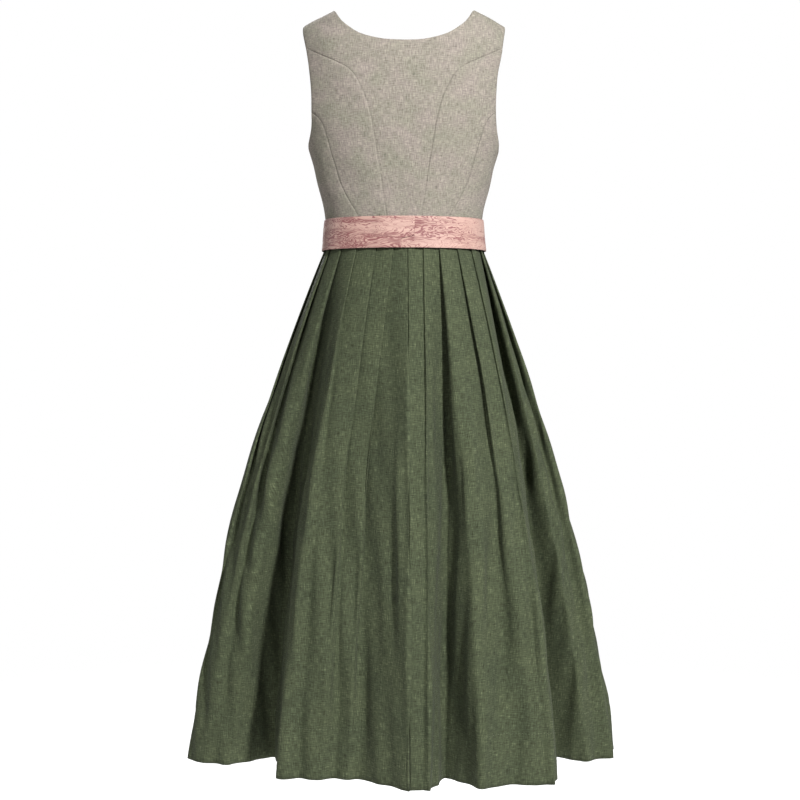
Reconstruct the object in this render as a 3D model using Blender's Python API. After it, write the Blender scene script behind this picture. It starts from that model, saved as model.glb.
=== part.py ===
"""Dirndl worn on an unseen figure: fitted linen bodice, pleated skirt and lapped belt.

Lengths are metres. Heights in the tables are above the hem. +Z is up, -Y is the back of the
wearer, +X is the wearer's right. The origin is midway between the two shoulder seams.
"""

import math
from collections import namedtuple

import bpy
import numpy as np

# Heights above the hem
SHOULDER_MOUNT_HEIGHT = 1.232
WAIST_SEAM_HEIGHT = 0.8724
BELT_TOP_HEIGHT = 0.900
BELT_BOTTOM_HEIGHT = 0.849
HEM_TURN_UP = 0.080

# Cloth
BODICE_WALL = 0.0015
SKIRT_WALL = 0.0012
HEM_EXTRA_WALL = 0.0008
BELT_WALL = 0.0016
SEAM_GAP = 0.0004
LAYER_SPACING = 0.0018

# Figure inside the bodice: depths are from the plane through both sides
Section = namedtuple("Section", "height half_width back_depth front_depth squareness")
FIGURE = (
    Section(0.849, 0.1285, 0.0915, 0.0955, 2.15),
    Section(0.872, 0.1279, 0.0909, 0.0949, 2.15),
    Section(0.900, 0.1288, 0.0916, 0.0960, 2.15),
    Section(0.943, 0.1380, 0.0955, 0.1025, 2.20),
    Section(0.977, 0.1465, 0.0995, 0.1120, 2.25),
    Section(1.017, 0.1573, 0.1035, 0.1270, 2.30),
    Section(1.050, 0.1640, 0.1060, 0.1320, 2.35),
    Section(1.093, 0.1700, 0.1070, 0.1280, 2.40),
    Section(1.143, 0.1740, 0.1050, 0.1130, 2.40),
    Section(1.187, 0.1780, 0.0980, 0.0980, 2.40),
    Section(1.246, 0.1820, 0.0850, 0.0850, 2.40),
)

# Shoulder line: it falls from the neck point to the tip, and the cloth rounds over it
NECK_POINT_ACROSS = 0.1163
NECK_POINT_HEIGHT = 1.2446
SHOULDER_FALL = 0.5
SHOULDER_ROUNDING = 0.060
SHOULDER_TIP_ANGLE = 65.3

# Seams and edges as distance from the centre and height
Mark = namedtuple("Mark", "across height")
BACK_PRINCESS_SEAM = (
    Mark(0.0275, WAIST_SEAM_HEIGHT),
    Mark(0.0293, 0.9096),
    Mark(0.0349, 0.9443),
    Mark(0.0395, 0.9783),
    Mark(0.0444, 1.0061),
    Mark(0.0488, 1.0344),
    Mark(0.0536, 1.0610),
    Mark(0.0624, 1.0910),
    Mark(0.0747, 1.1170),
    Mark(0.0870, 1.1344),
    Mark(0.1078, 1.1472),
    Mark(0.1336, 1.1601),
)
BACK_SIDE_SEAM = (
    Mark(0.0690, WAIST_SEAM_HEIGHT),
    Mark(0.0750, 0.9022),
    Mark(0.0879, 0.9250),
    Mark(0.1028, 0.9545),
    Mark(0.1112, 0.9806),
    Mark(0.1195, 1.0086),
    Mark(0.1297, 1.0450),
    Mark(0.1404, 1.0624),
)
FRONT_PRINCESS_SEAM = (
    Mark(0.0620, WAIST_SEAM_HEIGHT),
    Mark(0.0660, 0.9200),
    Mark(0.0740, 0.9700),
    Mark(0.0800, 1.0100),
    Mark(0.0840, 1.0400),
    Mark(0.0910, 1.0630),
    Mark(0.1040, 1.0830),
    Mark(0.1220, 1.0980),
)
BACK_NECKLINE = (
    Mark(0.1163, NECK_POINT_HEIGHT),
    Mark(0.1119, 1.2367),
    Mark(0.1070, 1.2264),
    Mark(0.1004, 1.2160),
    Mark(0.0934, 1.2088),
    Mark(0.0833, 1.2007),
    Mark(0.0732, 1.1940),
    Mark(0.0569, 1.1876),
    Mark(0.0293, 1.1819),
    Mark(0.0000, 1.1804),
)
FRONT_NECKLINE = (
    Mark(0.1163, NECK_POINT_HEIGHT),
    Mark(0.1135, 1.2200),
    Mark(0.1110, 1.1900),
    Mark(0.1080, 1.1600),
    Mark(0.1020, 1.1300),
    Mark(0.0900, 1.1020),
    Mark(0.0650, 1.0820),
    Mark(0.0350, 1.0730),
    Mark(0.0000, 1.0700),
)

# Armhole as angle round the figure from the centre back, from the side seam up to the tip
Turn = namedtuple("Turn", "angle height")
SIDE_SEAM_ANGLE = 93.0
BACK_ARMHOLE = (
    Turn(SIDE_SEAM_ANGLE, 1.0166),
    Turn(82.0, 1.0205),
    Turn(73.0, 1.0310),
    Turn(66.0, 1.0480),
    Turn(61.5, 1.0700),
    Turn(59.2, 1.0930),
    Turn(58.9, 1.1180),
    Turn(59.8, 1.1400),
    Turn(61.3, 1.1620),
    Turn(62.8, 1.1820),
    Turn(64.6, 1.1980),
    Turn(65.6, 1.2090),
)
FRONT_ARMHOLE = (
    Turn(SIDE_SEAM_ANGLE, 1.0166),
    Turn(104.0, 1.0210),
    Turn(113.0, 1.0350),
    Turn(119.5, 1.0580),
    Turn(122.5, 1.0880),
    Turn(122.0, 1.1200),
    Turn(119.8, 1.1500),
    Turn(117.2, 1.1800),
    Turn(115.2, 1.2030),
)
BACK_SIDE_SEAM_TOP = 1.0700
BACK_PRINCESS_TOP = 1.1760
FRONT_PRINCESS_TOP = 1.1070

# Panel grids: shares of a seam's length, and the columns along each edge
ROW_SHARES = (0.0, 0.09, 0.20, 0.34, 0.48, 0.60, 0.71, 0.80, 0.88, 0.945, 0.983, 1.0)
YOKE_SHARES = (0.0, 0.30, 0.55, 0.78, 0.93, 1.0)
BACK_CORNER_ROW = 7
FRONT_CORNER_ROW = 6
FRONT_NECK_CORNER = 6
SIDE_BACK_COLUMNS = 4
UNDERARM_COLUMNS = 6
SIDE_FRONT_COLUMNS = 5
BACK_MIDDLE_COLUMNS = 8
BACK_SHOULDER_COLUMNS = 3
FRONT_STRAP_COLUMNS = 3
FRONT_NECK_COLUMNS = 4

# Pleats from the centre back to the centre front. The waist column is the distance of the fold
# edge round the waist, and the tuck is how far the fold goes under, as a share of the pleat's width.
# At the hem the cloth waves between a valley and the crest that is below the fold edge.
Pleat = namedtuple("Pleat", "waist tuck valley_across valley_depth crest_across crest_depth")
CENTRE_BACK_WAIST = 0.0061
CENTRE_BACK_HEM = (0.0080, -0.158)
CENTRE_FRONT_HEM_DEPTH = 0.251
RIGHT_PLEATS = (
    Pleat(0.0069, 0.82, 0.0225, -0.175, 0.0110, -0.204),
    Pleat(0.0311, 0.17, 0.0300, -0.199, 0.0430, -0.203),
    Pleat(0.0570, 0.82, 0.0765, -0.134, 0.1205, -0.192),
    Pleat(0.0881, 0.82, 0.1665, -0.163, 0.2045, -0.174),
    Pleat(0.1172, 0.20, 0.2245, -0.166, 0.2425, -0.158),
    Pleat(0.1471, 0.82, 0.2485, 0.009, 0.3015, -0.020),
    Pleat(0.1755, 0.82, 0.3270, -0.004, 0.3520, 0.005),
    Pleat(0.2020, 0.82, 0.3490, 0.046, 0.3600, 0.076),
    Pleat(0.2315, 0.82, 0.3060, 0.100, 0.3190, 0.140),
    Pleat(0.2610, 0.82, 0.2620, 0.155, 0.2630, 0.192),
    Pleat(0.2910, 0.82, 0.2040, 0.191, 0.1910, 0.226),
    Pleat(0.3205, 0.82, 0.1280, 0.215, 0.1010, 0.249),
)
LEFT_PLEATS = (
    Pleat(-0.0053, 0.50, 0.0110, -0.171, -0.0050, -0.206),
    Pleat(0.0166, 0.82, 0.0695, -0.133, 0.0895, -0.139),
    Pleat(0.0444, 0.82, 0.1095, -0.129, 0.1325, -0.142),
    Pleat(0.0773, 0.30, 0.1685, -0.128, 0.2025, -0.128),
    Pleat(0.1059, 0.82, 0.2255, 0.010, 0.2835, -0.044),
    Pleat(0.1368, 0.82, 0.3080, -0.034, 0.3320, -0.030),
    Pleat(0.1665, 0.82, 0.3540, -0.008, 0.3625, 0.009),
    Pleat(0.1990, 0.82, 0.3500, 0.045, 0.3610, 0.073),
    Pleat(0.2290, 0.82, 0.3080, 0.104, 0.3230, 0.137),
    Pleat(0.2590, 0.82, 0.2570, 0.158, 0.2660, 0.195),
    Pleat(0.2900, 0.82, 0.2000, 0.194, 0.1930, 0.229),
    Pleat(0.3205, 0.82, 0.1250, 0.217, 0.1030, 0.249),
)
BACK_PLEATS = 7
POINTS_A_PLEAT = 7
WAVE_ROUNDNESS = 0.30
FLARE_BULGE = 0.54
BELT_SPREAD = 0.0046
WAIST_EASE = 0.0012
SHORTEST_MITRE = 0.45
RING_HEIGHTS = (
    0.8720, BELT_BOTTOM_HEIGHT, 0.825, 0.785, 0.730, 0.655, 0.565,
    0.465, 0.355, 0.240, 0.140, 0.083, HEM_TURN_UP, 0.0,
)

# Belt: the wearer's left end lies over the right end and is stepped at the centre back
BeltRow = namedtuple("BeltRow", "height over_end")
BELT_ROWS = (
    BeltRow(BELT_TOP_HEIGHT, 0.0170),
    BeltRow(0.8840, 0.0170),
    BeltRow(0.8680, 0.0160),
    BeltRow(0.8640, -0.0040),
    BeltRow(BELT_BOTTOM_HEIGHT, -0.0048),
)
BELT_UNDER_END = -0.0350
BELT_TOP_CLEARANCE = 0.0028
BELT_BOTTOM_CLEARANCE = 0.0074
BELT_LAP_LIFT = 0.0022
BELT_LAP_RISE = 0.0200
BELT_COLUMNS = 74
BELT_END_COLUMNS = 3
BELT_STEP_START = 0.0200

# Finishes: each piece of cloth gets a material of its own from one of these
Finish = namedtuple("Finish", "name colour roughness")
BODICE_FINISH = Finish("beige linen", (0.38, 0.345, 0.29, 1.0), 0.9)
SKIRT_FINISH = Finish("green linen", (0.075, 0.088, 0.052, 1.0), 0.9)
BELT_FINISH = Finish("pink patterned cloth", (0.60, 0.36, 0.31, 1.0), 0.8)

# How finely curves are followed
SHOULDER_TRIES = 40
SHOULDER_SAMPLES = 5
WAIST_SAMPLES = 24
SEAM_SAMPLES = 12
WAIST_SWEEP = (-30, 210, 1201)
BELT_SWEEP = (-40, 400, 2201)
ANGLE_STEP = 0.05
HEIGHT_STEP = 1e-4
RIDGE_REACH = 1e-5
WELD_DIGITS = 6


def unit(vector):
    """The vector at a length of one."""
    return vector / np.linalg.norm(vector)


def smooth_value(table, height, column):
    """The column of a table of sections at a height, along a smooth curve through its rows."""
    heights = [row.height for row in table]
    values = [getattr(row, column) for row in table]
    height = min(max(height, heights[0]), heights[-1])
    i = min(int(np.searchsorted(heights, height, side="right")) - 1, len(table) - 2)
    lo, hi = max(i - 1, 0), min(i + 2, len(table) - 1)
    step = heights[i + 1] - heights[i]
    start = (values[i + 1] - values[lo]) / (heights[i + 1] - heights[lo])
    end = (values[hi] - values[i]) / (heights[hi] - heights[i])
    s = (height - heights[i]) / step
    return (
        (2 * s**3 - 3 * s**2 + 1) * values[i]
        + (s**3 - 2 * s**2 + s) * step * start
        + (3 * s**2 - 2 * s**3) * values[i + 1]
        + (s**3 - s**2) * step * end
    )


def shoulder_line(across):
    """Height of the shoulder line at a distance from the centre."""
    return NECK_POINT_HEIGHT - SHOULDER_FALL * (abs(across) - NECK_POINT_ACROSS)


def figure_point(angle, height):
    """Point on the figure, at an angle from the centre back in degrees, positive to the right."""
    half_width = smooth_value(FIGURE, height, "half_width")
    power = 2 / smooth_value(FIGURE, height, "squareness")
    s, c = math.sin(math.radians(angle)), math.cos(math.radians(angle))
    depth = smooth_value(FIGURE, height, "back_depth" if c > 0 else "front_depth")
    x = math.copysign(half_width * abs(s) ** power, s)
    below = min(max((shoulder_line(x) - height) / SHOULDER_ROUNDING, 0.0), 1.0)
    y = -math.copysign(depth * abs(c) ** power, c) * math.sqrt(1 - (1 - below) ** 2)
    return np.array((x, y, height))


def figure_normal(angle, height):
    """Outward direction of the figure's surface."""
    x = figure_point(angle, height)[0]
    if shoulder_line(x) - height < RIDGE_REACH:
        ridge = np.array((math.copysign(SHOULDER_FALL, x), 0.0, 1.0))
        return unit(ridge)
    around = figure_point(angle + ANGLE_STEP, height) - figure_point(angle - ANGLE_STEP, height)
    up = figure_point(angle, height) - figure_point(angle, height - HEIGHT_STEP)
    return unit(np.cross(around, up))


def angle_at(across, height, front=False):
    """Angle from the centre back of the point of the figure that is this far across."""
    half_width = smooth_value(FIGURE, height, "half_width")
    squareness = smooth_value(FIGURE, height, "squareness")
    share = min(abs(across) / half_width, 1.0)
    angle = math.degrees(math.asin(share ** (squareness / 2)))
    return 180.0 - angle if front else angle


def shoulder_turn(angle):
    """The point of the shoulder seam at an angle, for the right half."""
    height = NECK_POINT_HEIGHT
    for _ in range(SHOULDER_TRIES):
        half_width = smooth_value(FIGURE, height, "half_width")
        power = 2 / smooth_value(FIGURE, height, "squareness")
        height = shoulder_line(half_width * math.sin(math.radians(angle)) ** power)
    return Turn(angle, height)


def turns_of(marks, front=False):
    """Marks as angles and heights."""
    return [Turn(angle_at(m.across, m.height, front), m.height) for m in marks]


def resampled(turns, shares):
    """The polyline of angles and heights at these shares of its length on the figure."""
    points = np.array([figure_point(*turn) for turn in turns])
    lengths = np.r_[0, np.cumsum(np.linalg.norm(np.diff(points, axis=0), axis=1))]
    at = np.array(shares) * lengths[-1]
    table = np.array(turns, float)
    return np.stack([np.interp(at, lengths, table[:, k]) for k in range(2)], axis=1)


def evenly(segments):
    """Shares of a run cut into equal segments."""
    return [i / segments for i in range(segments + 1)]


def part_of_edge(turns, start_height, end_height):
    """The part of an armhole between two heights."""
    heights = [turn.height for turn in turns]
    angles = [turn.angle for turn in turns]
    inner = [turn for turn in turns if start_height < turn.height < end_height]
    ends = [Turn(float(np.interp(h, heights, angles)), h) for h in (start_height, end_height)]
    return [ends[0], *inner, ends[1]]


def joined(*runs):
    """Runs of points joined end to end, without the doubled points."""
    return np.concatenate([runs[0], *[run[1:] for run in runs[1:]]])


def patch(bottom, top, left, right, shares):
    """Grid of angles and heights between four edges, with a row at each share of the way up."""
    t = np.array(shares)[:, None, None] / shares[-1]
    s = np.linspace(0, 1, len(bottom))[None, :, None]
    ruled = (1 - t) * bottom[None] + t * top[None]
    sides = (1 - s) * left[:, None] + s * right[:, None]
    foot = (1 - s) * bottom[0] + s * bottom[-1]
    head = (1 - s) * top[0] + s * top[-1]
    return ruled + sides - (1 - t) * foot - t * head


def grid_triangles(numbers, points):
    """Two triangles for each square of a grid of point numbers, cut along the shorter diagonal."""
    faces = []
    for low, high in zip(numbers, numbers[1:]):
        for a, b, d, e in zip(low, low[1:], high, high[1:]):
            rising = np.linalg.norm(points[e] - points[a])
            if rising <= np.linalg.norm(points[d] - points[b]):
                faces += [(a, b, e), (a, e, d)]
            else:
                faces += [(a, b, d), (b, e, d)]
    return faces


def open_edges(faces):
    """The border of a sheet, as pairs of point numbers in the order of its faces."""
    edges = {(f[i], f[(i + 1) % 3]) for f in faces for i in range(3)}
    return sorted(edge for edge in edges if edge[::-1] not in edges)


def make_material(name, finish):
    """A plain shader with the colour and roughness of a finish."""
    material = bpy.data.materials.new(f"{finish.name} of {name}")
    material.use_nodes = True
    shader = material.node_tree.nodes["Principled BSDF"]
    shader.inputs["Base Color"].default_value = finish.colour
    shader.inputs["Roughness"].default_value = finish.roughness
    shader.inputs["Metallic"].default_value = 0.0
    return material


def make_cloth(name, outer, inner, faces, finish):
    """One closed piece of cloth from the points of its outer and inner faces."""
    count = len(outer)
    points = np.concatenate([outer, inner])
    points[:, 2] -= SHOULDER_MOUNT_HEIGHT
    whole = list(faces) + [(a + count, c + count, b + count) for a, b, c in faces]
    for a, b in open_edges(faces):
        whole += [(b, a, a + count), (b, a + count, b + count)]
    mesh = bpy.data.meshes.new(name)
    mesh.from_pydata(points.tolist(), [], whole)
    mesh.materials.append(make_material(name, finish))
    piece = bpy.data.objects.new(name, mesh)
    bpy.context.scene.collection.objects.link(piece)


def make_grid_cloth(name, outer, inner, finish):
    """One closed piece of cloth from the grids of its outer and inner faces."""
    rows, columns = outer.shape[:2]
    outer, inner = outer.reshape(-1, 3), inner.reshape(-1, 3)
    numbers = np.arange(rows * columns).reshape(rows, columns).tolist()
    make_cloth(name, outer, inner, grid_triangles(numbers, outer), finish)


def make_panel(name, grids, side):
    """A bodice panel on the figure. Side 1 is the right half and -1 mirrors it to the left."""
    turns = np.concatenate([grid.reshape(-1, 2) for grid in grids])
    _, first, number = np.unique(
        np.round(turns, WELD_DIGITS), axis=0, return_index=True, return_inverse=True
    )
    number = number.reshape(-1)
    points = np.array([figure_point(*turns[i]) for i in first])
    normals = np.array([figure_normal(*turns[i]) for i in first])
    faces, start = [], 0
    for grid in grids:
        rows, columns = grid.shape[:2]
        numbers = number[start : start + rows * columns].reshape(rows, columns)
        faces += grid_triangles(numbers.tolist(), points)
        start += rows * columns
    # The border is drawn in, which leaves a gap at each seam
    along = np.zeros_like(points)
    for a, b in open_edges(faces):
        step = unit(points[b] - points[a])
        along[a] += step
        along[b] += step
    rim = np.linalg.norm(along, axis=1) > 0
    inward = np.cross(normals[rim], along[rim])
    points[rim] += SEAM_GAP / 2 * inward / np.linalg.norm(inward, axis=1)[:, None]
    outer = points + normals * BODICE_WALL / 2
    inner = points - normals * BODICE_WALL / 2
    if side < 0:
        outer, inner = outer * (-1, 1, 1), inner * (-1, 1, 1)
        faces = [(a, c, b) for a, b, c in faces]
    make_cloth(name, outer, inner, faces, BODICE_FINISH)


def make_bodice():
    """Nine panels between the waist, the neckline, the armholes and the shoulders."""
    tip = shoulder_turn(SHOULDER_TIP_ANGLE)
    neck = Turn(angle_at(NECK_POINT_ACROSS, NECK_POINT_HEIGHT), NECK_POINT_HEIGHT)
    shoulder = [shoulder_turn(a) for a in np.linspace(tip.angle, neck.angle, SHOULDER_SAMPLES)]
    back_hole = [*BACK_ARMHOLE, tip]
    front_tip = Turn(180.0 - tip.angle, tip.height)
    front_hole = [*FRONT_ARMHOLE, front_tip]

    def waist(start, end, columns):
        run = [(a, WAIST_SEAM_HEIGHT) for a in np.linspace(start, end, WAIST_SAMPLES)]
        return resampled(run, evenly(columns))

    def hole_point(hole, height):
        return part_of_edge(hole, height, tip.height)[0]

    princess = resampled(
        [*turns_of(BACK_PRINCESS_SEAM), hole_point(back_hole, BACK_PRINCESS_TOP)], ROW_SHARES
    )
    back_side = resampled(
        [*turns_of(BACK_SIDE_SEAM), hole_point(back_hole, BACK_SIDE_SEAM_TOP)], ROW_SHARES
    )
    side_heights = np.linspace(WAIST_SEAM_HEIGHT, BACK_ARMHOLE[0].height, SEAM_SAMPLES)
    side = resampled([(SIDE_SEAM_ANGLE, h) for h in side_heights], ROW_SHARES)
    front_princess = resampled(
        [*turns_of(FRONT_PRINCESS_SEAM, True), hole_point(front_hole, FRONT_PRINCESS_TOP)],
        ROW_SHARES,
    )
    front_heights = np.linspace(WAIST_SEAM_HEIGHT, FRONT_NECKLINE[-1].height, SEAM_SAMPLES)
    centre_front = [(180.0, h) for h in front_heights]

    # The centre back: a strip between the seams, and above it a yoke with the two straps
    corner = BACK_CORNER_ROW
    lower, wing = princess[: corner + 1], princess[corner:]
    middle = np.linspace(lower[-1] * (-1, 1), lower[-1], BACK_MIDDLE_COLUMNS + 1)
    strip = patch(
        waist(-lower[0, 0], lower[0, 0], BACK_MIDDLE_COLUMNS),
        middle,
        lower * (-1, 1),
        lower,
        ROW_SHARES[: corner + 1],
    )
    yoke_bottom = joined(wing[::-1] * (-1, 1), middle, wing)
    neck_columns = (len(yoke_bottom) - 1) // 2 - BACK_SHOULDER_COLUMNS
    half_top = joined(
        resampled(turns_of(BACK_NECKLINE), evenly(neck_columns))[::-1],
        resampled(shoulder[::-1], evenly(BACK_SHOULDER_COLUMNS)),
    )
    hole_run = resampled(part_of_edge(back_hole, BACK_PRINCESS_TOP, tip.height), YOKE_SHARES)
    yoke = patch(
        yoke_bottom,
        joined(half_top[::-1] * (-1, 1), half_top),
        hole_run * (-1, 1),
        hole_run,
        YOKE_SHARES,
    )
    make_panel("bodice_back", [strip, yoke], 1)

    # The front: a strip up to the neckline, and above it the strap
    corner = FRONT_CORNER_ROW
    lower, wing = front_princess[: corner + 1], front_princess[corner:]
    neckline = turns_of(FRONT_NECKLINE, True)
    strap_edge, neck_edge = neckline[: FRONT_NECK_CORNER + 1], neckline[FRONT_NECK_CORNER:]
    strap_foot = np.linspace(lower[-1], neck_edge[0], FRONT_STRAP_COLUMNS + 1)
    centre_run = resampled(centre_front, np.array(ROW_SHARES[: corner + 1]) / ROW_SHARES[corner])
    strip = patch(
        waist(lower[0, 0], 180.0, FRONT_STRAP_COLUMNS + FRONT_NECK_COLUMNS),
        joined(strap_foot, resampled(neck_edge, evenly(FRONT_NECK_COLUMNS))),
        lower,
        centre_run,
        ROW_SHARES[: corner + 1],
    )
    strap_bottom = joined(wing[::-1], strap_foot)
    front_shoulder = [Turn(180.0 - turn.angle, turn.height) for turn in shoulder]
    strap = patch(
        strap_bottom,
        resampled(front_shoulder, evenly(len(strap_bottom) - 1)),
        resampled(part_of_edge(front_hole, FRONT_PRINCESS_TOP, tip.height), YOKE_SHARES),
        resampled(strap_edge[::-1], YOKE_SHARES),
        YOKE_SHARES,
    )
    make_panel("bodice_front_right", [strip, strap], 1)
    make_panel("bodice_front_left", [strip, strap], -1)

    # The side pieces, from the back to the front
    hole_back = resampled(
        part_of_edge(back_hole, BACK_SIDE_SEAM_TOP, BACK_PRINCESS_TOP), evenly(SIDE_BACK_COLUMNS)
    )[::-1]
    hole_under = resampled(
        part_of_edge(back_hole, back_hole[0].height, BACK_SIDE_SEAM_TOP), evenly(UNDERARM_COLUMNS)
    )[::-1]
    hole_front = resampled(
        part_of_edge(front_hole, front_hole[0].height, FRONT_PRINCESS_TOP),
        evenly(SIDE_FRONT_COLUMNS),
    )
    sides = (
        ("bodice_back_side", princess, back_side, hole_back),
        ("bodice_underarm", back_side, side, hole_under),
        ("bodice_front_side", side, front_princess, hole_front),
    )
    for name, near, far, top in sides:
        grid = patch(waist(near[0, 0], far[0, 0], len(top) - 1), top, near, far, ROW_SHARES)
        make_panel(name + "_right", [grid], 1)
        make_panel(name + "_left", [grid], -1)


def curve_round(height, sweep, end):
    """Lengths round the figure from the centre back, the points and outward directions there, and
    the length at the end angle."""
    angles = np.linspace(*sweep)
    points = np.array([figure_point(a, height)[:2] for a in angles])
    along = np.gradient(points, axis=0)
    outward = np.stack([along[:, 1], -along[:, 0]], axis=1)
    outward /= np.linalg.norm(outward, axis=1)[:, None]
    lengths = np.r_[0, np.cumsum(np.linalg.norm(np.diff(points, axis=0), axis=1))]
    lengths -= np.interp(0, angles, lengths)
    return lengths, points, outward, float(np.interp(end, angles, lengths))


def waist_points(pleats, spread):
    """Points of half the skirt's top edge, laid in knife pleats, and how a point there is found."""
    lengths, points, outward, front = curve_round(WAIST_SEAM_HEIGHT, WAIST_SWEEP, 180.0)
    points = points + outward * spread
    edges = [pleat.waist for pleat in pleats] + [front - SEAM_GAP / 2]

    def place(along, drop):
        point = [np.interp(along, lengths, points[:, k]) for k in range(2)]
        normal = [np.interp(along, lengths, outward[:, k]) for k in range(2)]
        return np.array(point) - drop * np.array(normal)

    gap = LAYER_SPACING
    found = []
    for pleat, edge, following in zip(pleats, edges, edges[1:]):
        width = following - edge
        slope = 0.0 if pleat is pleats[-1] else 2 * gap / width
        tuck = pleat.tuck * width
        found += [
            place(edge + tuck, 2 * gap + slope * tuck),
            place(edge + tuck, gap + slope * tuck),
            place(edge, gap),
            place(edge, 0.0),
            place(edge + width / 3, slope * width / 3),
            place(edge + 2 * width / 3, slope * width * 2 / 3),
            place(following, slope * width),
        ]
    return found, place


def hem_points(pleats, start):
    """Points of half the hem, waving between the valleys and crests of the pleats."""
    knots = [np.array(start)]
    for pleat in pleats:
        knots += [
            np.array((pleat.valley_across, pleat.valley_depth)),
            np.array((pleat.crest_across, pleat.crest_depth)),
        ]
    knots.append(np.array((SEAM_GAP / 2, CENTRE_FRONT_HEM_DEPTH)))

    def between(i, s):
        lo, hi = max(i - 1, 0), min(i + 2, len(knots) - 1)
        out = WAVE_ROUNDNESS * (knots[i + 1] - knots[lo])
        into = WAVE_ROUNDNESS * (knots[hi] - knots[i])
        return (
            (2 * s**3 - 3 * s**2 + 1) * knots[i]
            + (s**3 - 2 * s**2 + s) * out
            + (3 * s**2 - 2 * s**3) * knots[i + 1]
            + (s**3 - s**2) * into
        )

    found = []
    for i in range(len(pleats)):
        valley = 2 * i + 1
        last = i == len(pleats) - 1
        shares = (1 / 3, 2 / 3, 1.0) if last else (1 / 4, 1 / 2, 3 / 4)
        found += [knots[valley], between(valley, 1 / 3), between(valley, 2 / 3)]
        found += [knots[valley + 1], *[between(valley + 1, s) for s in shares]]
    return found


def offset_line(line, distance):
    """Half a ring moved outwards by a distance, with mitred corners and ends square to the seams."""
    along = np.diff(line, axis=0)
    along /= np.linalg.norm(along, axis=1)[:, None]
    side = np.stack([along[:, 1], -along[:, 0]], axis=1)
    before, after = np.vstack([side[:1], side]), np.vstack([side, side[-1:]])
    middle = before + after
    middle /= np.maximum(np.linalg.norm(middle, axis=1), SHORTEST_MITRE)[:, None]
    middle[0], middle[-1] = (0.0, -1.0), (0.0, 1.0)
    reach = np.clip((middle * before).sum(axis=1), SHORTEST_MITRE, 1.0)[:, None]
    return line + distance * middle / reach


def skirt_half(pleats, side):
    """Rings of half the skirt in plan, from the centre back to the centre front."""
    start_hem = (side * CENTRE_BACK_HEM[0] + SEAM_GAP / 2, CENTRE_BACK_HEM[1])
    hem = np.array([start_hem, *hem_points(pleats, start_hem)])
    rings = []
    for height in RING_HEIGHTS:
        down = (BELT_BOTTOM_HEIGHT - height) / BELT_BOTTOM_HEIGHT
        spread = WAIST_EASE if down < 0 else BELT_SPREAD
        tucked, place = waist_points(pleats, spread)
        start = place(side * CENTRE_BACK_WAIST + SEAM_GAP / 2, 2 * LAYER_SPACING)
        top = np.array([start, *tucked])
        down = max(down, 0.0)
        flare = down + FLARE_BULGE * down * (1 - down)
        rings.append((1 - flare) * top + flare * hem)
    return rings


def make_skirt():
    """Four panels in knife pleats, thicker where the hem is turned up."""
    seam = POINTS_A_PLEAT * BACK_PLEATS
    for name, side, pleats in (("right", 1, RIGHT_PLEATS), ("left", -1, LEFT_PLEATS)):
        outer, inner = [], []
        for height, ring in zip(RING_HEIGHTS, skirt_half(pleats, side)):
            inside = SKIRT_WALL / 2 + (HEM_EXTRA_WALL if height <= HEM_TURN_UP else 0.0)
            for grid, distance in ((outer, SKIRT_WALL / 2), (inner, -inside)):
                moved = offset_line(ring, distance)
                grid.append(np.c_[moved, np.full(len(moved), height)])
        # Rows run from the bottom to the top
        outer, inner = np.array(outer[::-1]), np.array(inner[::-1])
        across_seam = outer[:, seam + 1] + inner[:, seam + 1] - outer[:, seam] - inner[:, seam]
        across_seam /= np.linalg.norm(across_seam, axis=1)[:, None]
        for panel, columns in (("back", slice(0, seam + 1)), ("front", slice(seam, None))):
            faces = []
            for grid in (outer, inner):
                cut = grid[:, columns].copy()
                if panel == "back":
                    cut[:, -1] -= SEAM_GAP / 2 * across_seam
                else:
                    cut[:, 0] += SEAM_GAP / 2 * across_seam
                faces.append(cut if side > 0 else cut[:, ::-1] * (-1, 1, 1))
            make_grid_cloth(f"skirt_{panel}_{name}", *faces, SKIRT_FINISH)


def make_belt():
    """One strip round the waist, whose left end lies over its right end at the centre back."""
    lengths, points, outward, round_length = curve_round(BELT_TOP_HEIGHT, BELT_SWEEP, 360)
    outer, inner = [], []
    for row in BELT_ROWS[::-1]:
        down = (BELT_TOP_HEIGHT - row.height) / (BELT_TOP_HEIGHT - BELT_BOTTOM_HEIGHT)
        clearance = BELT_TOP_CLEARANCE + down * (BELT_BOTTOM_CLEARANCE - BELT_TOP_CLEARANCE)
        lap_start = round_length + BELT_UNDER_END - BELT_LAP_RISE
        step_start = round_length - BELT_STEP_START
        at = joined(
            np.linspace(BELT_UNDER_END, step_start, BELT_COLUMNS + 1),
            np.linspace(step_start, round_length + row.over_end, BELT_END_COLUMNS + 1),
        )
        lap = np.clip((at - lap_start) / BELT_LAP_RISE, 0, 1)
        lift = BELT_LAP_LIFT * (3 * lap**2 - 2 * lap**3)
        for grid, wall in ((outer, BELT_WALL / 2), (inner, -BELT_WALL / 2)):
            off = clearance + lift + wall
            x, y = (
                np.interp(at, lengths, points[:, k]) + off * np.interp(at, lengths, outward[:, k])
                for k in range(2)
            )
            grid.append(np.stack([x, y, np.full(len(at), row.height)], axis=1))
    make_grid_cloth("belt", np.array(outer), np.array(inner), BELT_FINISH)


def main():
    """Clears the scene and makes the dress."""
    for thing in list(bpy.data.objects):
        bpy.data.objects.remove(thing, do_unlink=True)
    make_bodice()
    make_skirt()
    make_belt()


main()
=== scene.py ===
"""Dirndl worn on an unseen figure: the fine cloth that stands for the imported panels.

Lengths are metres and heights in the tables are above the hem. +Z is up, -Y is the back of the
wearer, which the camera sees, and +X is the wearer's right.
"""

import math
from collections import namedtuple

import bpy
import numpy as np
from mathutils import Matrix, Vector, kdtree


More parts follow.
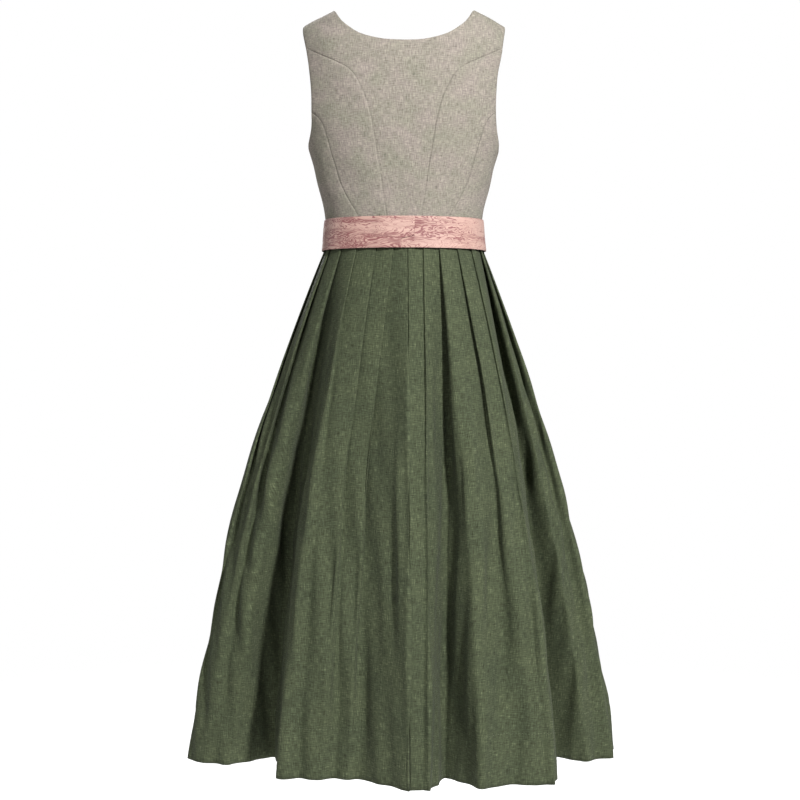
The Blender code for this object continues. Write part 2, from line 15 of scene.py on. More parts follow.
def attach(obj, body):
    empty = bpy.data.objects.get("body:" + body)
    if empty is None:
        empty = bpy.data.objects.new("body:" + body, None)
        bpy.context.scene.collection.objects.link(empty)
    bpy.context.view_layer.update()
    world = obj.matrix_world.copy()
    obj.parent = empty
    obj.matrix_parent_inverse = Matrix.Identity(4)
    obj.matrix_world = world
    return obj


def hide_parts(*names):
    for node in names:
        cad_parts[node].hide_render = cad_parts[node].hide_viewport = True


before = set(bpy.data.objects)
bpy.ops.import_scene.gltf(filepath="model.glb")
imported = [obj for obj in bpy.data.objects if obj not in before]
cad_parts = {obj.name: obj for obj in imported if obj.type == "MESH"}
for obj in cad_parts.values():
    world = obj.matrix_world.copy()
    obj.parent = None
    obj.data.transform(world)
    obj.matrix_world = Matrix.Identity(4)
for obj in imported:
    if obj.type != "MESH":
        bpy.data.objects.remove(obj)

bl_info = {
    "name": "Pleated Dirndl",
    "version": (1, 0, 0),
    "blender": (4, 5, 0),
    "location": "3D View > Sidebar > Dirndl",
    "description": "Linen bodice, knife-pleated skirt, lapped jacquard belt and a plain studio",
    "category": "Object",
}

# Heights above the hem
SHOULDER_MOUNT_HEIGHT = 1.232
WAIST_SEAM_HEIGHT = 0.8724
BELT_TOP_HEIGHT = 0.900
BELT_BOTTOM_HEIGHT = 0.849
HEM_TURN_UP = 0.080

# Figure inside the bodice: depths are from the plane through both sides
Section = namedtuple("Section", "height half_width back_depth front_depth squareness")
FIGURE = (
    Section(0.849, 0.1285, 0.0915, 0.0955, 2.15),
    Section(0.872, 0.1279, 0.0909, 0.0949, 2.15),
    Section(0.900, 0.1288, 0.0916, 0.0960, 2.15),
    Section(0.943, 0.1380, 0.0955, 0.1025, 2.20),
    Section(0.977, 0.1465, 0.0995, 0.1120, 2.25),
    Section(1.017, 0.1573, 0.1035, 0.1270, 2.30),
    Section(1.050, 0.1640, 0.1060, 0.1320, 2.35),
    Section(1.093, 0.1700, 0.1070, 0.1280, 2.40),
    Section(1.143, 0.1740, 0.1050, 0.1130, 2.40),
    Section(1.187, 0.1780, 0.0980, 0.0980, 2.40),
    Section(1.246, 0.1820, 0.0850, 0.0850, 2.40),
)

# Shoulder line: it falls from the neck point to the tip, and the cloth rounds over it
NECK_POINT_ACROSS = 0.1163
NECK_POINT_HEIGHT = 1.2446
SHOULDER_FALL = 0.5
SHOULDER_ROUNDING = 0.060
SHOULDER_TIP_ANGLE = 65.3
SHOULDER_TRIES = 40
RIDGE_REACH = 1e-5
ANGLE_STEP = 0.05
HEIGHT_STEP = 1e-4

# Seams and edges as distance from the centre and height
Mark = namedtuple("Mark", "across height")
BACK_PRINCESS_SEAM = (
    Mark(0.0275, WAIST_SEAM_HEIGHT),
    Mark(0.0293, 0.9096),
    Mark(0.0349, 0.9443),
    Mark(0.0395, 0.9783),
    Mark(0.0444, 1.0061),
    Mark(0.0488, 1.0344),
    Mark(0.0536, 1.0610),
    Mark(0.0624, 1.0910),
    Mark(0.0747, 1.1170),
    Mark(0.0870, 1.1344),
    Mark(0.1078, 1.1472),
    Mark(0.1336, 1.1601),
)
BACK_SIDE_SEAM = (
    Mark(0.0690, WAIST_SEAM_HEIGHT),
    Mark(0.0750, 0.9022),
    Mark(0.0879, 0.9250),
    Mark(0.1028, 0.9545),
    Mark(0.1112, 0.9806),
    Mark(0.1195, 1.0086),
    Mark(0.1297, 1.0450),
    Mark(0.1404, 1.0624),
)
FRONT_PRINCESS_SEAM = (
    Mark(0.0620, WAIST_SEAM_HEIGHT),
    Mark(0.0660, 0.9200),
    Mark(0.0740, 0.9700),
    Mark(0.0800, 1.0100),
    Mark(0.0840, 1.0400),
    Mark(0.0910, 1.0630),
    Mark(0.1040, 1.0830),
    Mark(0.1220, 1.0980),
)
BACK_NECKLINE = (
    Mark(0.1163, NECK_POINT_HEIGHT),
    Mark(0.1119, 1.2367),
    Mark(0.1070, 1.2264),
    Mark(0.1004, 1.2160),
    Mark(0.0934, 1.2088),
    Mark(0.0833, 1.2007),
    Mark(0.0732, 1.1940),
    Mark(0.0569, 1.1876),
    Mark(0.0293, 1.1819),
    Mark(0.0000, 1.1804),
)
FRONT_NECKLINE = (
    Mark(0.1163, NECK_POINT_HEIGHT),
    Mark(0.1135, 1.2200),
    Mark(0.1110, 1.1900),
    Mark(0.1080, 1.1600),
    Mark(0.1020, 1.1300),
    Mark(0.0900, 1.1020),
    Mark(0.0650, 1.0820),
    Mark(0.0350, 1.0730),
    Mark(0.0000, 1.0700),
)

# Armhole as angle round the figure from the centre back, from the side seam up to the tip
Turn = namedtuple("Turn", "angle height")
SIDE_SEAM_ANGLE = 93.0
BACK_ARMHOLE = (
    Turn(SIDE_SEAM_ANGLE, 1.0166),
    Turn(82.0, 1.0205),
    Turn(73.0, 1.0310),
    Turn(66.0, 1.0480),
    Turn(61.5, 1.0700),
    Turn(59.2, 1.0930),
    Turn(58.9, 1.1180),
    Turn(59.8, 1.1400),
    Turn(61.3, 1.1620),
    Turn(62.8, 1.1820),
    Turn(64.6, 1.1980),
    Turn(65.6, 1.2090),
)
FRONT_ARMHOLE = (
    Turn(SIDE_SEAM_ANGLE, 1.0166),
    Turn(104.0, 1.0210),
    Turn(113.0, 1.0350),
    Turn(119.5, 1.0580),
    Turn(122.5, 1.0880),
    Turn(122.0, 1.1200),
    Turn(119.8, 1.1500),
    Turn(117.2, 1.1800),
    Turn(115.2, 1.2030),
)
BACK_SIDE_SEAM_TOP = 1.0700
BACK_PRINCESS_TOP = 1.1760
FRONT_PRINCESS_TOP = 1.1070

# Rows and columns of the bodice panels, as shares of an edge's length
STRIP_ROWS = 30
YOKE_ROWS = 20
STRIP_COLUMNS = 30
WING_COLUMNS = 18
SHOULDER_COLUMNS = 14
SIDE_ROWS = 54
SIDE_COLUMNS = 24
FRONT_STRAP_COLUMNS = 14
FRONT_NECK_COLUMNS = 18
BACK_CORNER_SHARE = 0.80
FRONT_CORNER_SHARE = 0.71
FRONT_NECK_CORNER = 6
SPLINE_STEPS = 6
WAIST_SAMPLES = 24
SEAM_SAMPLES = 12
SHOULDER_SAMPLES = 9
WELD_DIGITS = 6
# Share of a run's points that is spaced evenly. The rest crowd towards the ends.
EVEN_SHARE = 0.35

# Sweeps round the figure: first angle, last angle and number of points
BODICE_SWEEP = (-110, 190, 601)
WAIST_SWEEP = (-30, 210, 1201)
BELT_SWEEP = (-40, 400, 2201)
# The places along the bodice cloth are measured round the figure at this height
BODICE_GIRTH_HEIGHT = 1.0

# Pleats from the centre back to the centre front: the fold edge round the waist, how far the fold
# goes under as a share of the pleat, and the valley and crest that the cloth waves between at
# the hem
Pleat = namedtuple("Pleat", "waist tuck valley_across valley_depth crest_across crest_depth")
CENTRE_BACK_WAIST = 0.0061
CENTRE_BACK_HEM = (0.0080, -0.158)
CENTRE_FRONT_HEM_DEPTH = 0.251
RIGHT_PLEATS = (
    Pleat(0.0069, 0.82, 0.0225, -0.175, 0.0076, -0.204),
    Pleat(0.0311, 0.17, 0.0300, -0.199, 0.0430, -0.203),
    Pleat(0.0570, 0.82, 0.0660, -0.122, 0.1205, -0.194),
    Pleat(0.0881, 0.82, 0.1665, -0.163, 0.2045, -0.174),
    Pleat(0.1172, 0.20, 0.2245, -0.166, 0.2425, -0.158),
    Pleat(0.1471, 0.82, 0.2440, 0.012, 0.3015, -0.020),
    Pleat(0.1755, 0.82, 0.3270, -0.004, 0.3520, 0.005),
    Pleat(0.2020, 0.82, 0.3490, 0.046, 0.3600, 0.076),
    Pleat(0.2315, 0.82, 0.3060, 0.100, 0.3190, 0.140),
    Pleat(0.2610, 0.82, 0.2620, 0.155, 0.2630, 0.192),
    Pleat(0.2910, 0.82, 0.2040, 0.191, 0.1910, 0.226),
    Pleat(0.3205, 0.82, 0.1280, 0.215, 0.1010, 0.249),
)
LEFT_PLEATS = (
    Pleat(-0.0053, 0.50, 0.0110, -0.171, -0.0095, -0.2095),
    Pleat(0.0166, 0.82, 0.0695, -0.133, 0.0895, -0.139),
    Pleat(0.0444, 0.82, 0.1095, -0.129, 0.1325, -0.142),
    Pleat(0.0773, 0.30, 0.1685, -0.128, 0.2025, -0.128),
    Pleat(0.1059, 0.82, 0.2160, 0.014, 0.2835, -0.044),
    Pleat(0.1368, 0.82, 0.3080, -0.034, 0.3320, -0.030),
    Pleat(0.1665, 0.82, 0.3540, -0.008, 0.3625, 0.009),
    Pleat(0.1990, 0.82, 0.3500, 0.045, 0.3610, 0.073),
    Pleat(0.2290, 0.82, 0.3080, 0.104, 0.3230, 0.137),
    Pleat(0.2590, 0.82, 0.2570, 0.158, 0.2660, 0.195),
    Pleat(0.2900, 0.82, 0.2000, 0.194, 0.1930, 0.229),
    Pleat(0.3205, 0.82, 0.1250, 0.217, 0.1030, 0.249),
)
BACK_PLEATS = 7
POINTS_A_PLEAT = 7
WAVE_ROUNDNESS = 0.30
FLARE_BULGE = 0.54
BELT_SPREAD = 0.0046
WAIST_EASE = 0.0012
LAYER_SPACING = 0.0018
HALF_SEAM = 0.00002
SKIRT_TOP_HEIGHT = 0.8720
HEM_ROWS = 11
SKIRT_ROWS = 104
TUCKED_ROWS = 4
# The stitched pleats lie calm down to the first share of the skirt's length. At the second more,
# the cloth hangs free.
CALM_SHARE = 0.06
FREEING_SHARE = 0.40
# The cloth lies calm this near to the centre seams
END_CALM = 0.030
# A crease fades in over a quarter of its length and out over a third
CREASE_FADE_IN = 4
CREASE_FADE_OUT = 3
STITCH_PULL_DEPTH = 0.0006
STITCH_PULL_WIDTH = 0.0030
CORNER_STEPS = 5
CORNER_REACH_AT_BELT = 0.0012
CORNER_REACH_AT_HEM = 0.016
CORNER_SHARE = 0.40

# Creases of the skirt. A place is counted in pleats from the centre back, so 3.5 is half way
# through the fourth pleat. Heights are above the hem. A positive rise is a ridge.
Crease = namedtuple("Crease", "top_place top_height foot_place foot_height width rise")
RIGHT_CREASES = (
    Crease(1.70, 0.80, 1.62, 0.34, 0.0075, -0.0040),
    Crease(2.75, 0.78, 2.80, 0.20, 0.0100, 0.0054),
    Crease(3.78, 0.74, 3.70, 0.30, 0.0110, -0.0058),
    Crease(4.80, 0.70, 4.86, 0.16, 0.0090, 0.0047),
    Crease(5.80, 0.80, 5.75, 0.26, 0.0100, -0.0050),
    Crease(7.70, 0.72, 7.82, 0.24, 0.0080, -0.0043),
    Crease(8.78, 0.79, 8.70, 0.38, 0.0070, 0.0040),
    Crease(9.72, 0.66, 9.84, 0.12, 0.0110, -0.0054),
    Crease(10.80, 0.76, 10.72, 0.30, 0.0090, 0.0043),
    Crease(11.75, 0.70, 11.66, 0.22, 0.0080, -0.0040),
)
LEFT_CREASES = (
    Crease(0.76, 0.62, 0.72, 0.14, 0.0080, 0.0047),
    Crease(1.78, 0.40, 1.70, 0.19, 0.0090, -0.0054),
    Crease(2.76, 0.39, 2.60, 0.17, 0.0090, -0.0061),
    Crease(3.74, 0.80, 3.80, 0.44, 0.0080, -0.0047),
    Crease(4.82, 0.72, 4.74, 0.18, 0.0100, 0.0058),
    Crease(5.76, 0.78, 5.84, 0.34, 0.0090, -0.0047),
    Crease(6.80, 0.70, 6.70, 0.20, 0.0110, 0.0054),
    Crease(8.80, 0.66, 8.70, 0.22, 0.0090, -0.0047),
    Crease(9.76, 0.78, 9.86, 0.32, 0.0080, 0.0043),
    Crease(11.70, 0.74, 11.80, 0.26, 0.0080, -0.0043),
)

# Slow waves of hanging cloth: length along the cloth, length down it, height and start
Ripple = namedtuple("Ripple", "along down rise start")
SKIRT_RIPPLES = (
    Ripple(0.061, 0.90, 0.0017, 0.4),
    Ripple(0.043, -0.62, 0.0013, 2.1),
    Ripple(0.027, 0.41, 0.0005, 4.0),
    Ripple(0.150, 0.33, 0.0020, 1.2),
)
BODICE_RIPPLES = (
    Ripple(0.082, 0.140, 0.00045, 0.9),
    Ripple(0.051, -0.105, 0.00030, 3.3),
    Ripple(0.190, 0.064, 0.00040, 1.7),
)

# Hem stitches: sides and rings of a bead, and how far along the line each one takes its aim
STITCH_SIDES = 6
STITCH_RINGS = 4
STITCH_AIM = 0.001

# Belt: the wearer's left end lies over the right end and is stepped at the centre back
BeltRow = namedtuple("BeltRow", "height over_end")
BELT_STEPS = (
    BeltRow(BELT_TOP_HEIGHT, 0.0170),
    BeltRow(0.8840, 0.0170),
    BeltRow(0.8680, 0.0160),
    BeltRow(0.8640, -0.0040),
    BeltRow(BELT_BOTTOM_HEIGHT, -0.0048),
)
BELT_UNDER_END = -0.0350
BELT_TOP_CLEARANCE = 0.0028
BELT_BOTTOM_CLEARANCE = 0.0074
BELT_LAP_LIFT = 0.0022
BELT_LAP_RISE = 0.0200
BELT_COLUMNS = 620
BELT_END_COLUMNS = 16
BELT_STEP_START = 0.0200
BELT_ROWS = 26
BELT_EDGE_TURN_DEPTH = 0.0004
BELT_EDGE_TURN_WIDTH = 0.0016
BELT_WAVE_RISE = 0.00025
BELT_WAVE_LENGTH = 0.071
BELT_WAVE_SLANT = 0.8

# Creases of the belt: ends as distance round from the centre back and height above its foot
BeltCrease = namedtuple("BeltCrease", "start start_up end end_up width rise")
BELT_CREASES = (
    BeltCrease(-0.121, 0.049, -0.087, 0.032, 0.0022, -0.0006),
    BeltCrease(-0.087, 0.032, -0.006, 0.018, 0.0026, -0.0005),
    BeltCrease(0.058, 0.024, 0.080, 0.008, 0.0026, -0.0006),
    BeltCrease(0.080, 0.008, 0.132, 0.006, 0.0022, -0.0004),
    BeltCrease(0.190, 0.044, 0.262, 0.022, 0.0026, -0.0006),
    BeltCrease(0.330, 0.012, 0.420, 0.030, 0.0028, -0.0005),
    BeltCrease(0.470, 0.040, 0.545, 0.012, 0.0024, -0.0006),
)

# Seams and edges: the cloth turns in over this width, by this much
EDGE_TURN_WIDTH = 0.0022
EDGE_TURN_DEPTH = 0.0006

# Cut of each piece without its seam allowances and turn-ups: width, length and area laid flat
Cut = namedtuple("Cut", "width length area")


def smooth_value(table, height, column):
    """The column of a table of sections at a height, along a smooth curve through its rows."""
    heights = [row.height for row in table]
    values = [getattr(row, column) for row in table]
    height = min(max(height, heights[0]), heights[-1])
    i = min(int(np.searchsorted(heights, height, side="right")) - 1, len(table) - 2)
    lo, hi = max(i - 1, 0), min(i + 2, len(table) - 1)
    step = heights[i + 1] - heights[i]
    start = (values[i + 1] - values[lo]) / (heights[i + 1] - heights[lo])
    end = (values[hi] - values[i]) / (heights[hi] - heights[i])
    s = (height - heights[i]) / step
    return (
        (2 * s**3 - 3 * s**2 + 1) * values[i]
        + (s**3 - 2 * s**2 + s) * step * start
        + (3 * s**2 - 2 * s**3) * values[i + 1]
        + (s**3 - s**2) * step * end
    )


def shoulder_line(across):
    """Height of the shoulder line at a distance from the centre."""
    return NECK_POINT_HEIGHT - SHOULDER_FALL * (abs(across) - NECK_POINT_ACROSS)


def figure_point(angle, height):
    """Point on the figure, at an angle from the centre back in degrees, positive to the right."""
    half_width = smooth_value(FIGURE, height, "half_width")
    power = 2 / smooth_value(FIGURE, height, "squareness")
    s, c = math.sin(math.radians(angle)), math.cos(math.radians(angle))
    depth = smooth_value(FIGURE, height, "back_depth" if c > 0 else "front_depth")
    x = math.copysign(half_width * abs(s) ** power, s)
    below = min(max((shoulder_line(x) - height) / SHOULDER_ROUNDING, 0.0), 1.0)
    y = -math.copysign(depth * abs(c) ** power, c) * math.sqrt(1 - (1 - below) ** 2)
    return np.array((x, y, height))


def figure_normal(angle, height):
    """Outward direction of the figure's surface."""
    x = figure_point(angle, height)[0]
    if shoulder_line(x) - height < RIDGE_REACH:
        ridge = np.array((math.copysign(SHOULDER_FALL, x), 0.0, 1.0))
        return ridge / np.linalg.norm(ridge)
    around = figure_point(angle + ANGLE_STEP, height) - figure_point(angle - ANGLE_STEP, height)
    up = figure_point(angle, height) - figure_point(angle, height - HEIGHT_STEP)
    normal = np.cross(around, up)
    return normal / np.linalg.norm(normal)


def angle_at(across, height, front=False):
    """Angle from the centre back of the point of the figure that is this far across."""
    half_width = smooth_value(FIGURE, height, "half_width")
    squareness = smooth_value(FIGURE, height, "squareness")
    share = min(abs(across) / half_width, 1.0)
    angle = math.degrees(math.asin(share ** (squareness / 2)))
    return 180.0 - angle if front else angle


def shoulder_turn(angle):
    """The point of the shoulder seam at an angle, for the right half."""
    height = NECK_POINT_HEIGHT
    for _ in range(SHOULDER_TRIES):
        half_width = smooth_value(FIGURE, height, "half_width")
        power = 2 / smooth_value(FIGURE, height, "squareness")
        height = shoulder_line(half_width * math.sin(math.radians(angle)) ** power)
    return Turn(angle, height)


def turns_of(marks, front=False):
    """Marks as angles and heights."""
    return [Turn(angle_at(m.across, m.height, front), m.height) for m in marks]


def curved(turns):
    """More points along a smooth curve through a run of angles and heights."""
    knots = np.array(turns, float)
    found = []
    for i in range(len(knots) - 1):
        before = knots[max(i - 1, 0)]
        after = knots[min(i + 2, len(knots) - 1)]
        out = (knots[i + 1] - before) / 2
        into = (after - knots[i]) / 2
        for step in range(SPLINE_STEPS):
            s = step / SPLINE_STEPS
            found.append(
                (2 * s**3 - 3 * s**2 + 1) * knots[i]
                + (s**3 - 2 * s**2 + s) * out
                + (3 * s**2 - 2 * s**3) * knots[i + 1]
                + (s**3 - s**2) * into
            )
    return np.array([*found, knots[-1]])


def resampled(turns, shares):
    """The line of angles and heights at these shares of its length on the figure."""
    points = np.array([figure_point(*turn) for turn in turns])
    lengths = run_lengths(points)
    at = np.array(shares) * lengths[-1]
    table = np.array(turns, float)
    return np.stack([np.interp(at, lengths, table[:, k]) for k in range(2)], axis=1)


def close_at_ends(count):
    """Shares of a run that crowd towards both of its ends, where the cloth turns in."""
    even = np.linspace(0, 1, count + 1)
    crowded = (1 - np.cos(np.pi * even)) / 2
    return EVEN_SHARE * even + (1 - EVEN_SHARE) * crowded


def part_of_edge(turns, start_height, end_height):
    """The part of an armhole between two heights."""
    heights = [turn[1] for turn in turns]
    angles = [turn[0] for turn in turns]
    inner = [turn for turn in turns if start_height < turn[1] < end_height]
    ends = [Turn(float(np.interp(h, heights, angles)), h) for h in (start_height, end_height)]
    return [ends[0], *inner, ends[1]]


def joined(*runs):
    """Runs of points joined end to end, without the doubled points."""
    return np.concatenate([runs[0], *[run[1:] for run in runs[1:]]])


def patch(bottom, top, left, right, shares):
    """Grid of angles and heights between four edges, with a row at each share of the way up."""
    t = np.array(shares)[:, None, None]
    s = np.linspace(0, 1, len(bottom))[None, :, None]
    ruled = (1 - t) * bottom[None] + t * top[None]
    sides = (1 - s) * left[:, None] + s * right[:, None]
    foot = (1 - s) * bottom[0] + s * bottom[-1]
    head = (1 - s) * top[0] + s * top[-1]
    return ruled + sides - (1 - t) * foot - t * head


def run_lengths(points):
    """Length along a run of points, at each of them."""
    return np.r_[0, np.cumsum(np.linalg.norm(np.diff(points, axis=0), axis=1))]


def curve_round(height, sweep):
    """Angles, lengths from the centre back, points and outward directions round the figure."""
    angles = np.linspace(*sweep)
    points = np.array([figure_point(a, height)[:2] for a in angles])
    along = np.gradient(points, axis=0)
    outward = np.stack([along[:, 1], -along[:, 0]], axis=1)
    outward /= np.linalg.norm(outward, axis=1)[:, None]
    lengths = run_lengths(points)
    return angles, lengths - np.interp(0, angles, lengths), points, outward


def rippled(ripples, along, down):
    """Height of the slow waves of the cloth at each point."""
    total = np.zeros_like(along)
    for wave in ripples:
        total += wave.rise * np.sin(
            2 * math.pi * (along / wave.along + down / wave.down) + wave.start
        )
    return total


def grid_faces(rows, columns, start=0):
    """Squares of a grid of points, with the first row at the foot."""
    numbers = np.arange(rows * columns).reshape(rows, columns) + start
    corners = (numbers[:-1, :-1], numbers[:-1, 1:], numbers[1:, 1:], numbers[1:, :-1])
    return np.stack([c.ravel() for c in corners], axis=1)


def rim_points(faces):
    """Numbers of the points on the border of a sheet."""
    ends = np.concatenate([faces[:, [i, (i + 1) % 4]] for i in range(4)])
    ends = np.sort(ends, axis=1)
    edges, uses = np.unique(ends, axis=0, return_counts=True)
    return np.unique(edges[uses == 1])


def edge_turn(points, faces):
    """How far each point of a sheet is turned in because it is near the border."""
    rim = rim_points(faces)
    tree = kdtree.KDTree(len(rim))
    for number, place in enumerate(points[rim]):
        tree.insert(place, number)
    tree.balance()
    away = np.array([tree.find(place)[2] for place in points])
    return EDGE_TURN_DEPTH * np.exp(-((away / EDGE_TURN_WIDTH) ** 2))


def make_sheet(node, points, faces, cloth_places, wall, material):
    """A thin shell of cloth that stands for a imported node."""
    name = node + "_cloth"
    mesh = bpy.data.meshes.new(name)
    shifted = points - np.array((0, 0, SHOULDER_MOUNT_HEIGHT))
    mesh.from_pydata(shifted.tolist(), [], faces.tolist())
    layer = mesh.uv_layers.new(name="cloth")
    corners = np.empty(len(mesh.loops), np.int32)
    mesh.loops.foreach_get("vertex_index", corners)
    layer.data.foreach_set("uv", cloth_places[corners].astype(np.float32).ravel())
    mesh.polygons.foreach_set("use_smooth", [True] * len(mesh.polygons))
    mesh.materials.append(material)
    piece = bpy.data.objects.new(name, mesh)
    bpy.context.scene.collection.objects.link(piece)
    shell = piece.modifiers.new("cloth thickness", "SOLIDIFY")
    shell.thickness = wall
    shell.offset = 0.0
    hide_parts(node)
    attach(piece, "root")
    return piece


def make_bodice_panel(name, grids, side, wall, material, round_lengths):
    """A bodice panel on the figure. Side 1 is the right half and -1 mirrors it to the left."""
    turns = np.concatenate([grid.reshape(-1, 2) for grid in grids])
    _, first, number = np.unique(
        np.round(turns, WELD_DIGITS), axis=0, return_index=True, return_inverse=True
    )
    number = number.reshape(-1)
    points = np.array([figure_point(*turns[i]) for i in first])
    normals = np.array([figure_normal(*turns[i]) for i in first])
    faces, start = [], 0
    for grid in grids:
        rows, columns = grid.shape[:2]
        faces.append(number[grid_faces(rows, columns, start)])
        start += rows * columns
    faces = np.concatenate(faces)
    along = np.interp(turns[first, 0], *round_lengths)
    height = turns[first, 1]
    lift = rippled(BODICE_RIPPLES, along * side, height) - edge_turn(points, faces)
    points = points + normals * lift[:, None]
    if side < 0:
        points = points * (-1, 1, 1)
        faces = faces[:, ::-1]
    places = np.stack([along * side, height], axis=1)
    return make_sheet(name, points, faces, places, wall, material)


def make_bodice(cloth, material):
    """Nine panels between the waist, the neckline, the armholes and the shoulders."""
    tip = shoulder_turn(SHOULDER_TIP_ANGLE)
    neck = Turn(angle_at(NECK_POINT_ACROSS, NECK_POINT_HEIGHT), NECK_POINT_HEIGHT)
    shoulder = [shoulder_turn(a) for a in np.linspace(tip.angle, neck.angle, SHOULDER_SAMPLES)]
    back_hole = curved([*BACK_ARMHOLE, tip])
    front_tip = Turn(180.0 - tip.angle, tip.height)
    front_hole = curved([*FRONT_ARMHOLE, front_tip])
    round_lengths = curve_round(BODICE_GIRTH_HEIGHT, BODICE_SWEEP)[:2]
    rows = close_at_ends(SIDE_ROWS)

    def waist(start, end, shares):
        run = [(a, WAIST_SEAM_HEIGHT) for a in np.linspace(start, end, WAIST_SAMPLES)]
        return resampled(run, shares)

    def upright(angle, top):
        return [(angle, h) for h in np.linspace(WAIST_SEAM_HEIGHT, top, SEAM_SAMPLES)]

    def hole_point(hole, height):
        return part_of_edge(hole, height, tip.height)[0]

    def panel(name, grids, side):
        make_bodice_panel(name, grids, side, cloth.bodice_wall, material, round_lengths)

    princess_line = curved(
        [*turns_of(BACK_PRINCESS_SEAM), hole_point(back_hole, BACK_PRINCESS_TOP)]
    )
    back_side_line = curved([*turns_of(BACK_SIDE_SEAM), hole_point(back_hole, BACK_SIDE_SEAM_TOP)])
    side_line = upright(SIDE_SEAM_ANGLE, BACK_ARMHOLE[0].height)
    front_princess_line = curved(
        [*turns_of(FRONT_PRINCESS_SEAM, True), hole_point(front_hole, FRONT_PRINCESS_TOP)]
    )
    centre_front = upright(180.0, FRONT_NECKLINE[-1].height)

    # The centre back: a strip between the seams, and above it a yoke with the two straps
    strip_rows, yoke_rows = close_at_ends(STRIP_ROWS), close_at_ends(YOKE_ROWS)
    wing_shares = close_at_ends(WING_COLUMNS)
    lower = resampled(princess_line, BACK_CORNER_SHARE * strip_rows)
    wing = resampled(princess_line, BACK_CORNER_SHARE + (1 - BACK_CORNER_SHARE) * wing_shares)
    columns = close_at_ends(STRIP_COLUMNS)
    middle = lower[-1] * (-1, 1) + columns[:, None] * (lower[-1] - lower[-1] * (-1, 1))
    strip = patch(
        waist(-lower[0, 0], lower[0, 0], columns), middle, lower * (-1, 1), lower, strip_rows
    )
    yoke_bottom = joined(wing[::-1] * (-1, 1), middle, wing)
    neck_columns = (len(yoke_bottom) - 1) // 2 - SHOULDER_COLUMNS
    half_top = joined(
        resampled(curved(turns_of(BACK_NECKLINE)), np.linspace(0, 1, neck_columns + 1))[::-1],
        resampled(shoulder[::-1], close_at_ends(SHOULDER_COLUMNS)),
    )
    hole_run = resampled(part_of_edge(back_hole, BACK_PRINCESS_TOP, tip.height), yoke_rows)
    yoke = patch(
        yoke_bottom,
        joined(half_top[::-1] * (-1, 1), half_top),
        hole_run * (-1, 1),
        hole_run,
        yoke_rows,
    )
    panel("bodice_back", [strip, yoke], 1)

    # The front: a strip up to the neckline, and above it the strap
    neckline = turns_of(FRONT_NECKLINE, True)
    front_neck = curved(neckline)
    corner = FRONT_NECK_CORNER * SPLINE_STEPS
    strap_edge, neck_edge = front_neck[: corner + 1], front_neck[corner:]
    lower = resampled(front_princess_line, FRONT_CORNER_SHARE * strip_rows)
    wing = resampled(
        front_princess_line, FRONT_CORNER_SHARE + (1 - FRONT_CORNER_SHARE) * wing_shares
    )
    strap_shares = np.linspace(0, 1, FRONT_STRAP_COLUMNS + 1)[:, None]
    strap_foot = lower[-1] + strap_shares * (neck_edge[0] - lower[-1])
    waist_columns = close_at_ends(FRONT_STRAP_COLUMNS + FRONT_NECK_COLUMNS)
    neck_run = resampled(neck_edge, np.linspace(0, 1, FRONT_NECK_COLUMNS + 1))
    strip = patch(
        waist(lower[0, 0], 180.0, waist_columns),
        joined(strap_foot, neck_run),
        lower,
        resampled(centre_front, strip_rows),
        strip_rows,
    )
    strap_bottom = joined(wing[::-1], strap_foot)
    front_shoulder = [Turn(180.0 - turn.angle, turn.height) for turn in shoulder]
    strap = patch(
        strap_bottom,
        resampled(front_shoulder, close_at_ends(len(strap_bottom) - 1)),
        resampled(part_of_edge(front_hole, FRONT_PRINCESS_TOP, tip.height), yoke_rows),
        resampled(strap_edge[::-1], yoke_rows),
        yoke_rows,
    )
    panel("bodice_front_right", [strip, strap], 1)
    panel("bodice_front_left", [strip, strap], -1)

    # The side pieces, from the back to the front
    columns = close_at_ends(SIDE_COLUMNS)
    hole_back = part_of_edge(back_hole, BACK_SIDE_SEAM_TOP, BACK_PRINCESS_TOP)
    hole_under = part_of_edge(back_hole, BACK_ARMHOLE[0].height, BACK_SIDE_SEAM_TOP)
    hole_front = part_of_edge(front_hole, FRONT_ARMHOLE[0].height, FRONT_PRINCESS_TOP)
    side_pieces = (
        ("bodice_back_side", princess_line, back_side_line, hole_back[::-1]),
        ("bodice_underarm", back_side_line, side_line, hole_under[::-1]),
        ("bodice_front_side", side_line, front_princess_line, hole_front),
    )
    for name, near, far, hole in side_pieces:
        near, far, top = resampled(near, rows), resampled(far, rows), resampled(hole, columns)
        grid = patch(waist(near[0, 0], far[0, 0], columns), top, near, far, rows)
        panel(name + "_right", [grid], 1)
        panel(name + "_left", [grid], -1)


def waist_ring(pleats, side, spread):
    """Points of half the skirt's top edge, laid in knife pleats."""
    angles, lengths, points, outward = curve_round(WAIST_SEAM_HEIGHT, WAIST_SWEEP)
    points = points + outward * spread
    front = float(np.interp(180, angles, lengths))
    edges = [pleat.waist for pleat in pleats] + [front - HALF_SEAM]

    def place(along, drop):
        point = [np.interp(along, lengths, points[:, k]) for k in range(2)]
        normal = [np.interp(along, lengths, outward[:, k]) for k in range(2)]
        return np.array(point) - drop * np.array(normal)

    gap = LAYER_SPACING
    found = [place(side * CENTRE_BACK_WAIST + HALF_SEAM, 2 * gap)]
    for pleat, edge, following in zip(pleats, edges, edges[1:]):
        width = following - edge
        slope = 0.0 if pleat is pleats[-1] else 2 * gap / width
        tuck = pleat.tuck * width
        found += [
            place(edge + tuck, 2 * gap + slope * tuck),
            place(edge + tuck, gap + slope * tuck),
            place(edge, gap),
            place(edge, 0.0),
            place(edge + width / 3, slope * width / 3),
            place(edge + 2 * width / 3, slope * width * 2 / 3),
            place(following, slope * width),
        ]
    return np.array(found)


